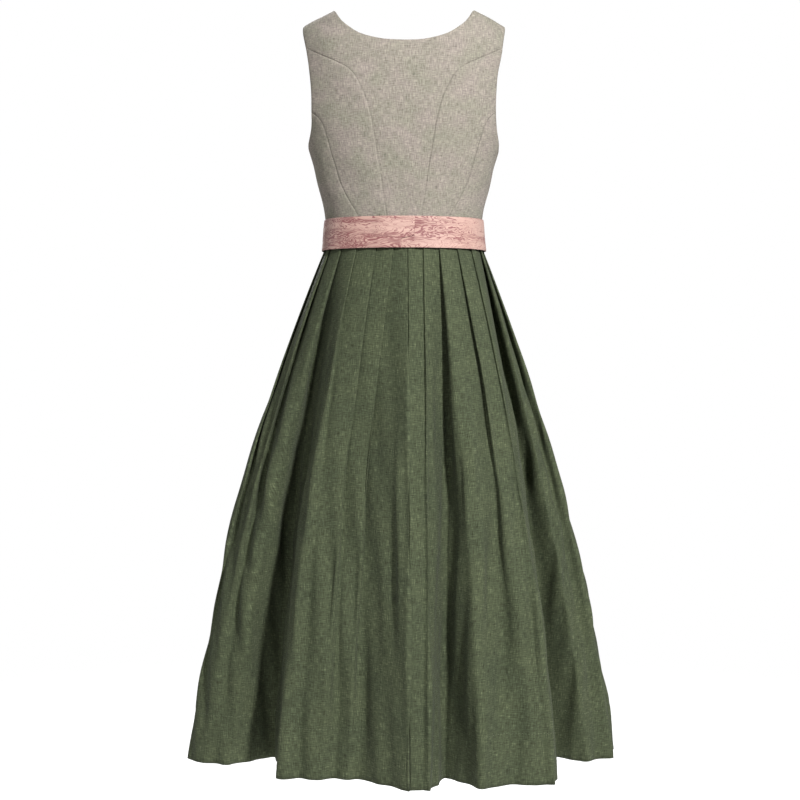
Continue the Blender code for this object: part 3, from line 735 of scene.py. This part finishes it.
def hem_ring(pleats, side):
    """Points of half the hem, waving between the valleys and crests of the pleats."""
    knots = [np.array((side * CENTRE_BACK_HEM[0] + HALF_SEAM, CENTRE_BACK_HEM[1]))]
    for pleat in pleats:
        knots += [
            np.array((pleat.valley_across, pleat.valley_depth)),
            np.array((pleat.crest_across, pleat.crest_depth)),
        ]
    knots.append(np.array((HALF_SEAM, CENTRE_FRONT_HEM_DEPTH)))

    def between(i, s):
        lo, hi = max(i - 1, 0), min(i + 2, len(knots) - 1)
        out = WAVE_ROUNDNESS * (knots[i + 1] - knots[lo])
        into = WAVE_ROUNDNESS * (knots[hi] - knots[i])
        return (
            (2 * s**3 - 3 * s**2 + 1) * knots[i]
            + (s**3 - 2 * s**2 + s) * out
            + (3 * s**2 - 2 * s**3) * knots[i + 1]
            + (s**3 - s**2) * into
        )

    found = [knots[0]]
    for i in range(len(pleats)):
        valley = 2 * i + 1
        last = i == len(pleats) - 1
        shares = (1 / 3, 2 / 3, 1.0) if last else (1 / 4, 1 / 2, 3 / 4)
        found += [knots[valley], between(valley, 1 / 3), between(valley, 2 / 3)]
        found += [knots[valley + 1], *[between(valley + 1, s) for s in shares]]
    return np.array(found)


def softened(ring, reach):
    """A ring with each corner rounded, and where its points lie, counted in corners."""
    steps = np.diff(ring, axis=0)
    lengths = np.linalg.norm(steps, axis=1)
    cut = np.minimum(reach, CORNER_SHARE * lengths)
    points, places = [ring[0]], [0.0]
    for i in range(1, len(ring) - 1):
        before = ring[i] - steps[i - 1] * cut[i - 1] / lengths[i - 1]
        after = ring[i] + steps[i] * cut[i] / lengths[i]
        points.append((points[-1] + before) / 2)
        places.append(i - 0.5)
        for t in np.linspace(0, 1, CORNER_STEPS):
            points.append((1 - t) ** 2 * before + 2 * t * (1 - t) * ring[i] + t**2 * after)
            places.append(i + 0.8 * (t - 0.5))
    points.append((points[-1] + ring[-1]) / 2)
    points.append(ring[-1])
    places += [len(ring) - 1.5, len(ring) - 1.0]
    return np.array(points), np.array(places)


def skirt_heights():
    """Heights of the rows of the skirt, from the hem to the waist seam."""
    hem = np.linspace(0, HEM_TURN_UP, HEM_ROWS)
    body = np.linspace(HEM_TURN_UP, BELT_BOTTOM_HEIGHT, SKIRT_ROWS)
    head = np.linspace(BELT_BOTTOM_HEIGHT, SKIRT_TOP_HEIGHT, TUCKED_ROWS)
    return np.concatenate([hem[:-1], body[:-1], head])


def skirt_half(pleats, side, creases):
    """Points, places along the cloth and heights of half the skirt, from the hem up."""
    under_belt, at_belt = (waist_ring(pleats, side, s) for s in (WAIST_EASE, BELT_SPREAD))
    hem = hem_ring(pleats, side)
    heights = skirt_heights()
    rows, alongs = [], []
    for height in heights:
        down = max((BELT_BOTTOM_HEIGHT - height) / BELT_BOTTOM_HEIGHT, 0.0)
        under_way = (height - BELT_BOTTOM_HEIGHT) / (SKIRT_TOP_HEIGHT - BELT_BOTTOM_HEIGHT)
        tucked = np.clip(under_way, 0, 1)
        top = (1 - tucked) * at_belt + tucked * under_belt
        flare = down + FLARE_BULGE * down * (1 - down)
        ring = (1 - flare) * top + flare * hem
        reach = CORNER_REACH_AT_BELT + (CORNER_REACH_AT_HEM - CORNER_REACH_AT_BELT) * down
        points, places = softened(ring, reach)
        rows.append(np.c_[points, np.full(len(points), height)])
        alongs.append(run_lengths(points))
    points, along = np.array(rows), np.array(alongs)
    round_way, up_way = np.gradient(points, axis=1), np.gradient(points, axis=0)
    normals = np.cross(round_way, up_way)
    normals /= np.linalg.norm(normals, axis=2)[:, :, None]
    height_grid = np.repeat(heights[:, None], along.shape[1], axis=1)
    below_belt = (BELT_BOTTOM_HEIGHT - height_grid) / BELT_BOTTOM_HEIGHT
    freedom = np.clip((below_belt - CALM_SHARE) / FREEING_SHARE, 0, 1)
    freedom = freedom**2 * (3 - 2 * freedom)
    lift = freedom * rippled(SKIRT_RIPPLES, along, height_grid)
    for crease in creases:
        way = (crease.top_height - heights) / (crease.top_height - crease.foot_height)
        place = crease.top_place + way * (crease.foot_place - crease.top_place)
        centre = [
            np.interp(POINTS_A_PLEAT * p, places, row) for p, row in zip(place, along)
        ]
        fade = np.clip(way * CREASE_FADE_IN, 0, 1) * np.clip((1 - way) * CREASE_FADE_OUT, 0, 1)
        away = (along - np.array(centre)[:, None]) / crease.width
        lift += freedom * fade[:, None] * crease.rise * np.exp(-(away**2))
    # The halves meet edge to edge at the centre back and the centre front
    from_end = np.clip(np.minimum(along, along[:, -1:] - along) / END_CALM, 0, 1)
    lift *= from_end**2 * (3 - 2 * from_end)
    # The stitches pull the turn-up in along a line
    pull = np.exp(-(((height_grid - HEM_TURN_UP) / STITCH_PULL_WIDTH) ** 2))
    lift -= STITCH_PULL_DEPTH * pull
    points = points + normals * lift[:, :, None]
    return points, along, height_grid, normals


def side_seam_column():
    """The middle column of the corner where the side seam is, as softened() lays the columns."""
    corner = POINTS_A_PLEAT * BACK_PLEATS
    start, halfway = 1, 1
    return start + (corner - 1) * (halfway + CORNER_STEPS) + halfway + CORNER_STEPS // 2


def make_skirt(cloth, material):
    """Four panels in knife pleats, drawn in along the line where the hem is turned up and stitched,
    which it gives back for the stitches.
    """
    halves = (("right", 1, RIGHT_PLEATS, RIGHT_CREASES), ("left", -1, LEFT_PLEATS, LEFT_CREASES))
    stitch_lines = []
    for name, side, pleats, creases in halves:
        points, along, height, normals = skirt_half(pleats, side, creases)
        seam = side_seam_column()
        row = int(np.argmin(np.abs(height[:, 0] - HEM_TURN_UP)))
        mirror = np.array((side, 1, 1))
        stitch_lines.append((points[row] * mirror, normals[row] * mirror))
        for part, columns in (("back", slice(0, seam + 1)), ("front", slice(seam, None))):
            panel = points[:, columns]
            rows, count = panel.shape[:2]
            faces = grid_faces(rows, count)
            flat = panel.reshape(-1, 3) * mirror
            rounds, ups = along[:, columns].ravel(), height[:, columns].ravel()
            places = np.stack([side * rounds, ups], axis=1)
            if side < 0:
                faces = faces[:, ::-1]
            make_sheet(
                f"skirt_{part}_{name}", flat, faces, places, cloth.skirt_wall, material
            )
    return stitch_lines


def make_hem_stitches(lines, cloth, material):
    """One row of short stitches round the skirt where the turn-up is sewn, each a long bead."""
    bpy.ops.object.select_all(action="DESELECT")
    bpy.ops.mesh.primitive_uv_sphere_add(
        segments=STITCH_SIDES, ring_count=STITCH_RINGS, radius=0.5
    )
    start = bpy.context.object
    bead = np.array([v.co for v in start.data.vertices])
    bead_faces = [list(p.vertices) for p in start.data.polygons]
    bpy.data.objects.remove(start, do_unlink=True)
    points, faces = [], []
    for line, normals in lines:
        lengths = run_lengths(line)
        pitch = cloth.stitch_length + cloth.stitch_gap
        for at in np.arange(pitch / 2, lengths[-1], pitch):
            ends = [
                np.array([np.interp(at + d, lengths, line[:, k]) for k in range(3)])
                for d in (-STITCH_AIM, 0.0, STITCH_AIM)
            ]
            outward = np.array([np.interp(at, lengths, normals[:, k]) for k in range(3)])
            outward /= np.linalg.norm(outward)
            run = ends[2] - ends[0]
            run /= np.linalg.norm(run)
            up = np.cross(outward, run)
            size = np.array((cloth.stitch_length, cloth.thread_width, cloth.thread_width))
            local = bead * size
            centre = ends[1] + outward * cloth.skirt_wall / 2 - (0, 0, SHOULDER_MOUNT_HEIGHT)
            base = len(points) * len(bead)
            points.append(centre + local[:, :1] * run + local[:, 1:2] * outward + local[:, 2:] * up)
            faces += [[v + base for v in face] for face in bead_faces]
    mesh = bpy.data.meshes.new("hem_stitches")
    mesh.from_pydata(np.concatenate(points).tolist(), [], faces)
    mesh.polygons.foreach_set("use_smooth", [True] * len(mesh.polygons))
    mesh.materials.append(material)
    piece = bpy.data.objects.new("hem_stitches", mesh)
    bpy.context.scene.collection.objects.link(piece)
    bpy.ops.object.select_all(action="DESELECT")
    piece.select_set(True)
    bpy.context.view_layer.objects.active = piece
    bpy.ops.object.mode_set(mode="EDIT")
    bpy.ops.mesh.select_all(action="SELECT")
    bpy.ops.mesh.normals_make_consistent(inside=False)
    bpy.ops.object.mode_set(mode="OBJECT")
    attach(piece, "root")
    return piece


def make_belt(cloth, material):
    """One strip round the waist, whose left end lies over its right end at the centre back."""
    angles, lengths, points, outward = curve_round(BELT_TOP_HEIGHT, BELT_SWEEP)
    round_length = float(np.interp(360, angles, lengths))
    wide = BELT_TOP_HEIGHT - BELT_BOTTOM_HEIGHT
    step_heights = [row.height for row in BELT_STEPS[::-1]]
    step_ends = [row.over_end for row in BELT_STEPS[::-1]]
    grid, places = [], []
    for share in close_at_ends(BELT_ROWS):
        height = BELT_BOTTOM_HEIGHT + share * wide
        over_end = float(np.interp(height, step_heights, step_ends))
        down = 1 - share
        clearance = BELT_TOP_CLEARANCE + down * (BELT_BOTTOM_CLEARANCE - BELT_TOP_CLEARANCE)
        lap_start = round_length + BELT_UNDER_END - BELT_LAP_RISE
        step_start = round_length - BELT_STEP_START
        at = joined(
            np.linspace(BELT_UNDER_END, step_start, BELT_COLUMNS + 1),
            np.linspace(step_start, round_length + over_end, BELT_END_COLUMNS + 1),
        )
        lap = np.clip((at - lap_start) / BELT_LAP_RISE, 0, 1)
        lift = BELT_LAP_LIFT * (3 * lap**2 - 2 * lap**3)
        rim = np.minimum(share, 1 - share) * wide
        lift = lift - BELT_EDGE_TURN_DEPTH * math.exp(-((rim / BELT_EDGE_TURN_WIDTH) ** 2))
        wave = at / BELT_WAVE_LENGTH + share * BELT_WAVE_SLANT
        lift = lift + BELT_WAVE_RISE * np.sin(2 * math.pi * wave)
        for crease in BELT_CREASES:
            run = np.array((crease.end - crease.start, crease.end_up - crease.start_up))
            offset = np.stack([at - crease.start, np.full(len(at), share * wide - crease.start_up)])
            length = np.linalg.norm(run)
            way = np.clip((run @ offset) / length**2, 0, 1)
            away = np.linalg.norm(offset - run[:, None] * way, axis=0)
            lift = lift + crease.rise * np.exp(-((away / crease.width) ** 2))
        off = clearance + lift
        x, y = (
            np.interp(at, lengths, points[:, k]) + off * np.interp(at, lengths, outward[:, k])
            for k in range(2)
        )
        grid.append(np.stack([x, y, np.full(len(at), height)], axis=1))
        places.append(np.stack([at, np.full(len(at), share * wide)], axis=1))
    rows, count = np.array(grid).shape[:2]
    return make_sheet(
        "belt",
        np.array(grid).reshape(-1, 3),
        grid_faces(rows, count),
        np.array(places).reshape(-1, 2),
        cloth.belt_wall,
        material,
    )


# Linen: yarn grain in grains a metre, and the depth of the relief
Slub = namedtuple("Slub", "weft_along warp_down across clouds relief")
BODICE_SLUB = Slub(110.0, 85.0, 900.0, 24.0, 0.00035)
SKIRT_SLUB = Slub(90.0, 70.0, 760.0, 14.0, 0.00035)
THREAD_PITCH = 0.0011
YARN_RELIEF = 3.0
LINEN_BUMP = 0.55
LINEN_ROUGHNESS = 0.88
LINEN_SHEEN_ROUGHNESS = 0.45
LINEN_SPECULAR = 0.12

# Yarns from dark to pale: place on the noise, and strength of the middle colour
BODICE_YARNS = ((0.36, 0.50), (0.46, 0.86), (0.54, 1.12), (0.66, 1.60))
SKIRT_YARNS = ((0.36, 0.42), (0.46, 0.86), (0.54, 1.10), (0.66, 2.40))
# Slow drift of the dye over the cloth
CLOUD_STOPS = (0.34, 0.66)
BODICE_TINTS = ((0.90, 0.93, 0.88), (1.05, 1.00, 1.04))
SKIRT_TINTS = ((0.88, 0.88, 0.88), (1.10, 1.08, 1.05))
BODICE_SHEEN = 0.04
SKIRT_SHEEN = 0.02
HEM_THREAD_STRENGTH = 2.2

# Jacquard: grain along and down the belt, in grains a metre
FIGURE_GRAIN = (17.0, 66.0)
DRIFT_GRAIN = (7.0, 38.0)
SPECK_GRAIN = (240.0, 1500.0)
RIB_GRAIN = (1700.0, 500.0)
FIGURE_LINES = 15.0
DRIFT_RANGE = (0.40, 0.60)
# Width of the lines where they are sparse, and how much wider they are where they are dense
LINE_WIDTH = 0.14
DENSE_LINE_WIDTH = 0.52
LINE_EDGE = (-0.06, 0.08)
# How fully a line covers the ground: at the least, and with the specks
LINE_COVER = 0.42
SPECK_COVER = 0.9
RIB_SHADES = ((0.30, (0.88, 0.87, 0.87)), (0.70, (1.05, 1.05, 1.05)))
RIB_RELIEF = 0.6
JACQUARD_BUMP = 0.6
JACQUARD_RELIEF = 0.0004
JACQUARD_ROUGHNESS = 0.62
JACQUARD_SHEEN = 0.12
ROSE_STRENGTH = 1.25
DEEP_ROSE_STRENGTH = 0.80

THREAD_GRAIN = 900.0
THREAD_SHADE = 0.7
THREAD_ROUGHNESS = 0.6


class Wiring:
    """Adds and joins the nodes of one material."""

    def __init__(self, name):
        self.material = bpy.data.materials.new(name)
        self.material.use_nodes = True
        self.tree = self.material.node_tree
        self.shader = self.tree.nodes["Principled BSDF"]

    def add(self, kind, inputs=(), **settings):
        """A new node, with its settings, and its inputs fed."""
        node = self.tree.nodes.new("ShaderNode" + kind)
        for key, value in settings.items():
            setattr(node, key, value)
        for key, value in dict(inputs).items():
            self.feed(value, node.inputs[key])
        return node

    def feed(self, value, socket):
        """Joins an output to the socket, or sets a plain value on it."""
        if isinstance(value, bpy.types.NodeSocket):
            self.tree.links.new(value, socket)
        else:
            socket.default_value = value

    def maths(self, operation, a, b=0.0, c=0.0, clamp=False):
        """One sum with numbers or outputs."""
        node = self.add("Math", {0: a, 1: b, 2: c}, operation=operation, use_clamp=clamp)
        return node.outputs[0]

    def noise(self, place, scale, detail=2.0, roughness=0.5, distortion=0.0):
        """Noise whose grain along and down the cloth is given in grains a metre."""
        mapping = self.add("Mapping", {"Vector": place, "Scale": (*scale, 1.0)})
        texture = self.add(
            "TexNoise",
            {
                "Vector": mapping.outputs[0],
                "Scale": 1.0,
                "Detail": detail,
                "Roughness": roughness,
                "Distortion": distortion,
            },
        )
        return texture.outputs["Fac"]

    def share(self, value, ends):
        """0 to 1 as the value goes from the first end to the last."""
        inputs = {"Value": value, "From Min": ends[0], "From Max": ends[1]}
        return self.add("MapRange", inputs, clamp=True).outputs[0]

    def ramp(self, fac, stops):
        """Colours between stops, each a place and a colour."""
        node = self.add("ValToRGB", {"Fac": fac})
        elements = node.color_ramp.elements
        while len(elements) < len(stops):
            elements.new(0.5)
        for element, (place, colour) in zip(elements, stops):
            element.position = place
            element.color = (*colour[:3], 1.0)
        return node.outputs["Color"]

    def mix(self, fac, a, b, blend="MIX"):
        """Two colours mixed."""
        node = self.add("Mix", data_type="RGBA", blend_type=blend)
        self.feed(fac, node.inputs[0])
        self.feed(a, node.inputs[6])
        self.feed(b, node.inputs[7])
        return node.outputs[2]


def linen(name, shades, tints, slub, thread, sheen):
    """Plain-woven linen: uneven yarns across and down, and a bump for the weave."""
    wiring = Wiring(name)
    place = wiring.add("UVMap", uv_map="cloth").outputs[0]
    weft = wiring.noise(place, (slub.weft_along, slub.across), 3.0, 0.62)
    warp = wiring.noise(place, (slub.across, slub.warp_down), 3.0, 0.62)
    clouds = wiring.noise(place, (slub.clouds, slub.clouds), 3.0, 0.55)
    yarns = wiring.maths("ADD", weft, warp)
    yarns = wiring.maths("MULTIPLY", yarns, 0.5)
    colour = wiring.ramp(yarns, shades)
    tint = wiring.ramp(clouds, tuple(zip(CLOUD_STOPS, tints)))
    colour = wiring.mix(1.0, colour, tint, "MULTIPLY")
    wiring.feed(colour, wiring.shader.inputs["Base Color"])
    wiring.shader.inputs["Roughness"].default_value = LINEN_ROUGHNESS
    wiring.shader.inputs["Sheen Weight"].default_value = sheen
    wiring.shader.inputs["Sheen Roughness"].default_value = LINEN_SHEEN_ROUGHNESS
    wiring.shader.inputs["Specular IOR Level"].default_value = LINEN_SPECULAR
    # The weave: two sets of ridges that take turns on top
    split = wiring.add("SeparateXYZ", {0: place})
    turn = 2 * math.pi / thread
    over = wiring.maths("SINE", wiring.maths("MULTIPLY", split.outputs[0], turn))
    under = wiring.maths("SINE", wiring.maths("MULTIPLY", split.outputs[1], turn))
    weave = wiring.maths("MULTIPLY", over, under)
    height = wiring.maths("MULTIPLY_ADD", yarns, YARN_RELIEF, weave)
    bump = wiring.add(
        "Bump", {"Height": height, "Strength": LINEN_BUMP, "Distance": slub.relief}
    )
    wiring.feed(bump.outputs[0], wiring.shader.inputs["Normal"])
    return wiring.material


def jacquard(name, ground, pale, rose, deep):
    """Pale pink ribbon cloth with curling dusty rose lines in drifts."""
    wiring = Wiring(name)
    place = wiring.add("UVMap", uv_map="cloth").outputs[0]
    field = wiring.noise(place, FIGURE_GRAIN, 3.0, 0.52, 0.9)
    lines = wiring.maths("PINGPONG", wiring.maths("MULTIPLY", field, FIGURE_LINES), 0.5)
    lines = wiring.maths("MULTIPLY", lines, 2.0)
    drifts = wiring.noise(place, DRIFT_GRAIN, 2.0, 0.5, 0.6)
    dense = wiring.share(drifts, DRIFT_RANGE)
    width = wiring.maths("MULTIPLY_ADD", dense, DENSE_LINE_WIDTH, LINE_WIDTH)
    figure = wiring.share(wiring.maths("SUBTRACT", width, lines), LINE_EDGE)
    speck = wiring.noise(place, SPECK_GRAIN, 2.0, 0.6)
    ribs = wiring.noise(place, RIB_GRAIN, 2.0, 0.6)
    cover = wiring.maths("MULTIPLY_ADD", speck, SPECK_COVER, LINE_COVER)
    grainy = wiring.maths("MULTIPLY", figure, cover, clamp=True)
    base = wiring.mix(dense, pale, ground)
    figure_colour = wiring.mix(speck, deep, rose)
    colour = wiring.mix(grainy, base, figure_colour)
    shade = wiring.ramp(ribs, RIB_SHADES)
    colour = wiring.mix(1.0, colour, shade, "MULTIPLY")
    wiring.feed(colour, wiring.shader.inputs["Base Color"])
    wiring.shader.inputs["Roughness"].default_value = JACQUARD_ROUGHNESS
    wiring.shader.inputs["Sheen Weight"].default_value = JACQUARD_SHEEN
    height = wiring.maths("ADD", grainy, wiring.maths("MULTIPLY", ribs, RIB_RELIEF))
    bump = wiring.add(
        "Bump", {"Height": height, "Strength": JACQUARD_BUMP, "Distance": JACQUARD_RELIEF}
    )
    wiring.feed(bump.outputs[0], wiring.shader.inputs["Normal"])
    return wiring.material


def thread_finish(name, colour):
    """Sewing thread with a fine twist."""
    wiring = Wiring(name)
    place = wiring.add("TexCoord").outputs["Object"]
    twist = wiring.add("TexNoise", {"Vector": place, "Scale": THREAD_GRAIN, "Detail": 2.0})
    dark = tuple(THREAD_SHADE * part for part in colour[:3])
    shade = wiring.ramp(twist.outputs["Fac"], ((0.3, dark), (0.7, colour)))
    wiring.feed(shade, wiring.shader.inputs["Base Color"])
    wiring.shader.inputs["Roughness"].default_value = THREAD_ROUGHNESS
    return wiring.material


def shade_of(colour, strength):
    """A colour made darker or lighter."""
    return tuple(min(part * strength, 1.0) for part in colour[:3])


class DirndlCloth(bpy.types.PropertyGroup):
    """Thickness of the cloth and the size of the stitches."""

    bodice_wall: bpy.props.FloatProperty(
        name="Bodice cloth", description="Thickness of the bodice linen",
        default=0.0013, min=0.0003, max=0.003, unit="LENGTH", precision=4,
    )
    skirt_wall: bpy.props.FloatProperty(
        name="Skirt cloth", description="Thickness of the skirt linen",
        default=0.0008, min=0.0003, max=0.0012, unit="LENGTH", precision=4,
    )
    belt_wall: bpy.props.FloatProperty(
        name="Belt cloth", description="Thickness of the lined belt",
        default=0.0016, min=0.0005, max=0.002, unit="LENGTH", precision=4,
    )
    stitch_length: bpy.props.FloatProperty(
        name="Stitch length", description="Length of one hem stitch",
        default=0.0030, min=0.001, max=0.006, unit="LENGTH", precision=4,
    )
    stitch_gap: bpy.props.FloatProperty(
        name="Stitch gap", description="Space between two hem stitches",
        default=0.0022, min=0.0005, max=0.01, unit="LENGTH", precision=4,
    )
    thread_width: bpy.props.FloatProperty(
        name="Thread", description="Thickness of the sewing thread",
        default=0.0005, min=0.0002, max=0.001, unit="LENGTH", precision=4,
    )


class DirndlColours(bpy.types.PropertyGroup):
    """Colours of the linens, the belt and the thread."""

    bodice: bpy.props.FloatVectorProperty(
        name="Bodice linen", description="Middle colour of the beige melange linen",
        subtype="COLOR", size=3, default=(0.234, 0.214, 0.180), min=0, max=1,
    )
    skirt: bpy.props.FloatVectorProperty(
        name="Skirt linen", description="Middle colour of the grey-green linen",
        subtype="COLOR", size=3, default=(0.053, 0.064, 0.036), min=0, max=1,
    )
    belt_ground: bpy.props.FloatVectorProperty(
        name="Belt ground", description="Pink ground of the belt",
        subtype="COLOR", size=3, default=(0.335, 0.192, 0.160), min=0, max=1,
    )
    belt_pale: bpy.props.FloatVectorProperty(
        name="Belt pale ground", description="Palest ground of the belt",
        subtype="COLOR", size=3, default=(0.405, 0.255, 0.212), min=0, max=1,
    )
    belt_figure: bpy.props.FloatVectorProperty(
        name="Belt figure", description="Dusty rose lines of the belt",
        subtype="COLOR", size=3, default=(0.148, 0.035, 0.040), min=0, max=1,
    )


class DirndlStudio(bpy.types.PropertyGroup):
    """Camera and light."""

    distance: bpy.props.FloatProperty(
        name="Camera distance", description="Distance of the camera from the middle of the dress",
        default=2.70, min=1, max=10, unit="LENGTH",
    )
    eye_height: bpy.props.FloatProperty(
        name="Camera height", description="Height of the camera above the hem",
        default=0.672, min=0, max=3, unit="LENGTH",
    )
    tilt: bpy.props.FloatProperty(
        name="Camera tilt", description="Angle by which the camera looks down",
        default=math.radians(1.49), subtype="ANGLE",
    )
    view_width: bpy.props.FloatProperty(
        name="View width", description="Width that the camera sees at the dress",
        default=1.334, min=0.5, max=4, unit="LENGTH",
    )
    sky_light: bpy.props.FloatProperty(
        name="Sky light", description="Strength of the light that comes from all round",
        default=0.09, min=0, max=2,
    )
    floor_drop: bpy.props.FloatProperty(
        name="Floor below the hem", description="How far the floor lies below the hem",
        default=0.34, min=0.01, max=1, unit="LENGTH",
    )


class DIRNDL_OT_bodice(bpy.types.Operator):
    """Make the nine panels of the linen bodice"""

    bl_idname = "dirndl.bodice"
    bl_label = "Bodice"

    def execute(self, context):
        tone = context.scene.dirndl_colours.bodice
        shades = [(place, shade_of(tone, strength)) for place, strength in BODICE_YARNS]
        material = linen(
            "beige melange linen", shades, BODICE_TINTS, BODICE_SLUB, THREAD_PITCH, BODICE_SHEEN
        )
        make_bodice(context.scene.dirndl_cloth, material)
        return {"FINISHED"}


class DIRNDL_OT_skirt(bpy.types.Operator):
    """Make the four pleated panels of the skirt and its hem stitches"""

    bl_idname = "dirndl.skirt"
    bl_label = "Skirt"

    def execute(self, context):
        tone = context.scene.dirndl_colours.skirt
        shades = [(place, shade_of(tone, strength)) for place, strength in SKIRT_YARNS]
        material = linen(
            "grey-green linen", shades, SKIRT_TINTS, SKIRT_SLUB, THREAD_PITCH, SKIRT_SHEEN
        )
        cloth = context.scene.dirndl_cloth
        lines = make_skirt(cloth, material)
        thread = thread_finish("green sewing thread", shade_of(tone, HEM_THREAD_STRENGTH))
        make_hem_stitches(lines, cloth, thread)
        return {"FINISHED"}


class DIRNDL_OT_belt(bpy.types.Operator):
    """Make the lapped belt"""

    bl_idname = "dirndl.belt"
    bl_label = "Belt"

    def execute(self, context):
        colours = context.scene.dirndl_colours
        figure = colours.belt_figure
        material = jacquard(
            "pink jacquard",
            (*colours.belt_ground, 1.0),
            (*colours.belt_pale, 1.0),
            (*shade_of(figure, ROSE_STRENGTH), 1.0),
            (*shade_of(figure, DEEP_ROSE_STRENGTH), 1.0),
        )
        make_belt(context.scene.dirndl_cloth, material)
        return {"FINISHED"}


# Studio: lamps at heights above the hem, and a floor that fades out between two distances
Lamp = namedtuple("Lamp", "name across depth height size power")
LAMPS = (
    Lamp("key", 1.7, -3.1, 2.4, 0.4, 275.0),
    Lamp("fill", -1.5, -3.2, 1.5, 1.2, 34.0),
    Lamp("overhead", 0.0, -0.6, 3.6, 2.6, 36.0),
    Lamp("front", -0.9, 3.4, 2.4, 1.0, 230.0),
    Lamp("left_side", -3.6, 0.6, 1.8, 1.6, 26.0),
    Lamp("right_side", 3.6, 0.6, 1.8, 1.6, 26.0),
)
LAMP_AIM = (0.0, 0.0, 0.62)
FLOOR_FADE = (1.0, 3.2)
FLOOR_SIDES = 96
FLOOR_SHADE = (0.9, 0.9, 0.9, 1.0)
FLOOR_ROUGHNESS = 0.9
WHITE = (1.0, 1.0, 1.0, 1.0)
SENSOR_WIDTH = 36.0
PICTURE_SHIFT = -0.0049


class DIRNDL_OT_studio(bpy.types.Operator):
    """Make the floor, the lights and the camera"""

    bl_idname = "dirndl.studio"
    bl_label = "Studio"

    def execute(self, context):
        studio = context.scene.dirndl_studio
        bpy.ops.object.select_all(action="DESELECT")
        floor_height = -SHOULDER_MOUNT_HEIGHT - studio.floor_drop
        bpy.ops.mesh.primitive_circle_add(
            vertices=FLOOR_SIDES,
            radius=FLOOR_FADE[1],
            fill_type="NGON",
            location=(0, 0, floor_height),
        )
        floor = context.object
        bpy.ops.object.transform_apply(location=True, rotation=False, scale=False)
        floor.name = "studio_floor"
        wiring = Wiring("studio floor")
        wiring.shader.inputs["Base Color"].default_value = FLOOR_SHADE
        wiring.shader.inputs["Roughness"].default_value = FLOOR_ROUGHNESS
        place = wiring.add("TexCoord").outputs["Object"]
        away = wiring.add("VectorMath", {0: place}, operation="LENGTH").outputs["Value"]
        fade = {
            "Value": away,
            "From Min": FLOOR_FADE[0],
            "From Max": FLOOR_FADE[1],
            "To Min": 1.0,
            "To Max": 0.0,
        }
        cover = wiring.add("MapRange", fade, interpolation_type="SMOOTHSTEP").outputs[0]
        wiring.feed(cover, wiring.shader.inputs["Alpha"])
        floor.data.materials.append(wiring.material)
        for lamp in LAMPS:
            aim = Vector(LAMP_AIM) - Vector((0, 0, SHOULDER_MOUNT_HEIGHT))
            place = Vector((lamp.across, lamp.depth, lamp.height - SHOULDER_MOUNT_HEIGHT))
            bpy.ops.object.light_add(type="AREA", location=place)
            light = context.object
            light.name = lamp.name + "_light"
            light.data.energy = lamp.power
            light.data.size = lamp.size
            light.rotation_mode = "QUATERNION"
            light.rotation_quaternion = (aim - place).to_track_quat("-Z", "Y")
        world = bpy.data.worlds.new("studio sky")
        world.use_nodes = True
        nodes, links = world.node_tree.nodes, world.node_tree.links
        sky = nodes["Background"]
        sky.inputs["Color"].default_value = WHITE
        sky.inputs["Strength"].default_value = studio.sky_light
        paper = nodes.new("ShaderNodeBackground")
        paper.inputs["Color"].default_value = WHITE
        seen = nodes.new("ShaderNodeLightPath")
        either = nodes.new("ShaderNodeMixShader")
        links.new(seen.outputs["Is Camera Ray"], either.inputs[0])
        links.new(sky.outputs[0], either.inputs[1])
        links.new(paper.outputs[0], either.inputs[2])
        links.new(either.outputs[0], nodes["World Output"].inputs["Surface"])
        context.scene.world = world
        context.scene.view_settings.view_transform = "Standard"
        place = (0.0, -studio.distance, studio.eye_height - SHOULDER_MOUNT_HEIGHT)
        bpy.ops.object.camera_add(
            location=place, rotation=(math.radians(90) - studio.tilt, 0.0, 0.0)
        )
        camera = context.object
        camera.name = "camera"
        camera.data.sensor_width = SENSOR_WIDTH
        camera.data.lens = SENSOR_WIDTH * studio.distance / studio.view_width
        camera.data.shift_x = PICTURE_SHIFT
        context.scene.camera = camera
        return {"FINISHED"}


class DIRNDL_PT_panel(bpy.types.Panel):
    """Sizes, colours and the steps of the dirndl"""

    bl_label = "Dirndl"
    bl_idname = "DIRNDL_PT_panel"
    bl_space_type = "VIEW_3D"
    bl_region_type = "UI"
    bl_category = "Dirndl"

    def draw(self, context):
        scene = context.scene
        for group in (scene.dirndl_cloth, scene.dirndl_colours, scene.dirndl_studio):
            box = self.layout.box()
            for name in group.__annotations__:
                box.prop(group, name)
        for step in STEPS:
            self.layout.operator(step.bl_idname)


STEPS = (DIRNDL_OT_bodice, DIRNDL_OT_skirt, DIRNDL_OT_belt, DIRNDL_OT_studio)
GROUPS = {
    "dirndl_cloth": DirndlCloth,
    "dirndl_colours": DirndlColours,
    "dirndl_studio": DirndlStudio,
}


def register():
    """Adds the classes and the scene's settings."""
    for kind in (*GROUPS.values(), *STEPS, DIRNDL_PT_panel):
        bpy.utils.register_class(kind)
    for name, kind in GROUPS.items():
        setattr(bpy.types.Scene, name, bpy.props.PointerProperty(type=kind))


def unregister():
    """Takes the settings and the classes away again."""
    for name in GROUPS:
        delattr(bpy.types.Scene, name)
    for kind in reversed((*GROUPS.values(), *STEPS, DIRNDL_PT_panel)):
        bpy.utils.unregister_class(kind)


def main():
    """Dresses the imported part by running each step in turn."""
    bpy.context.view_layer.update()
    register()
    bpy.ops.dirndl.bodice()
    bpy.ops.dirndl.skirt()
    bpy.ops.dirndl.belt()
    bpy.ops.dirndl.studio()


if __name__ == "__main__":
    main()
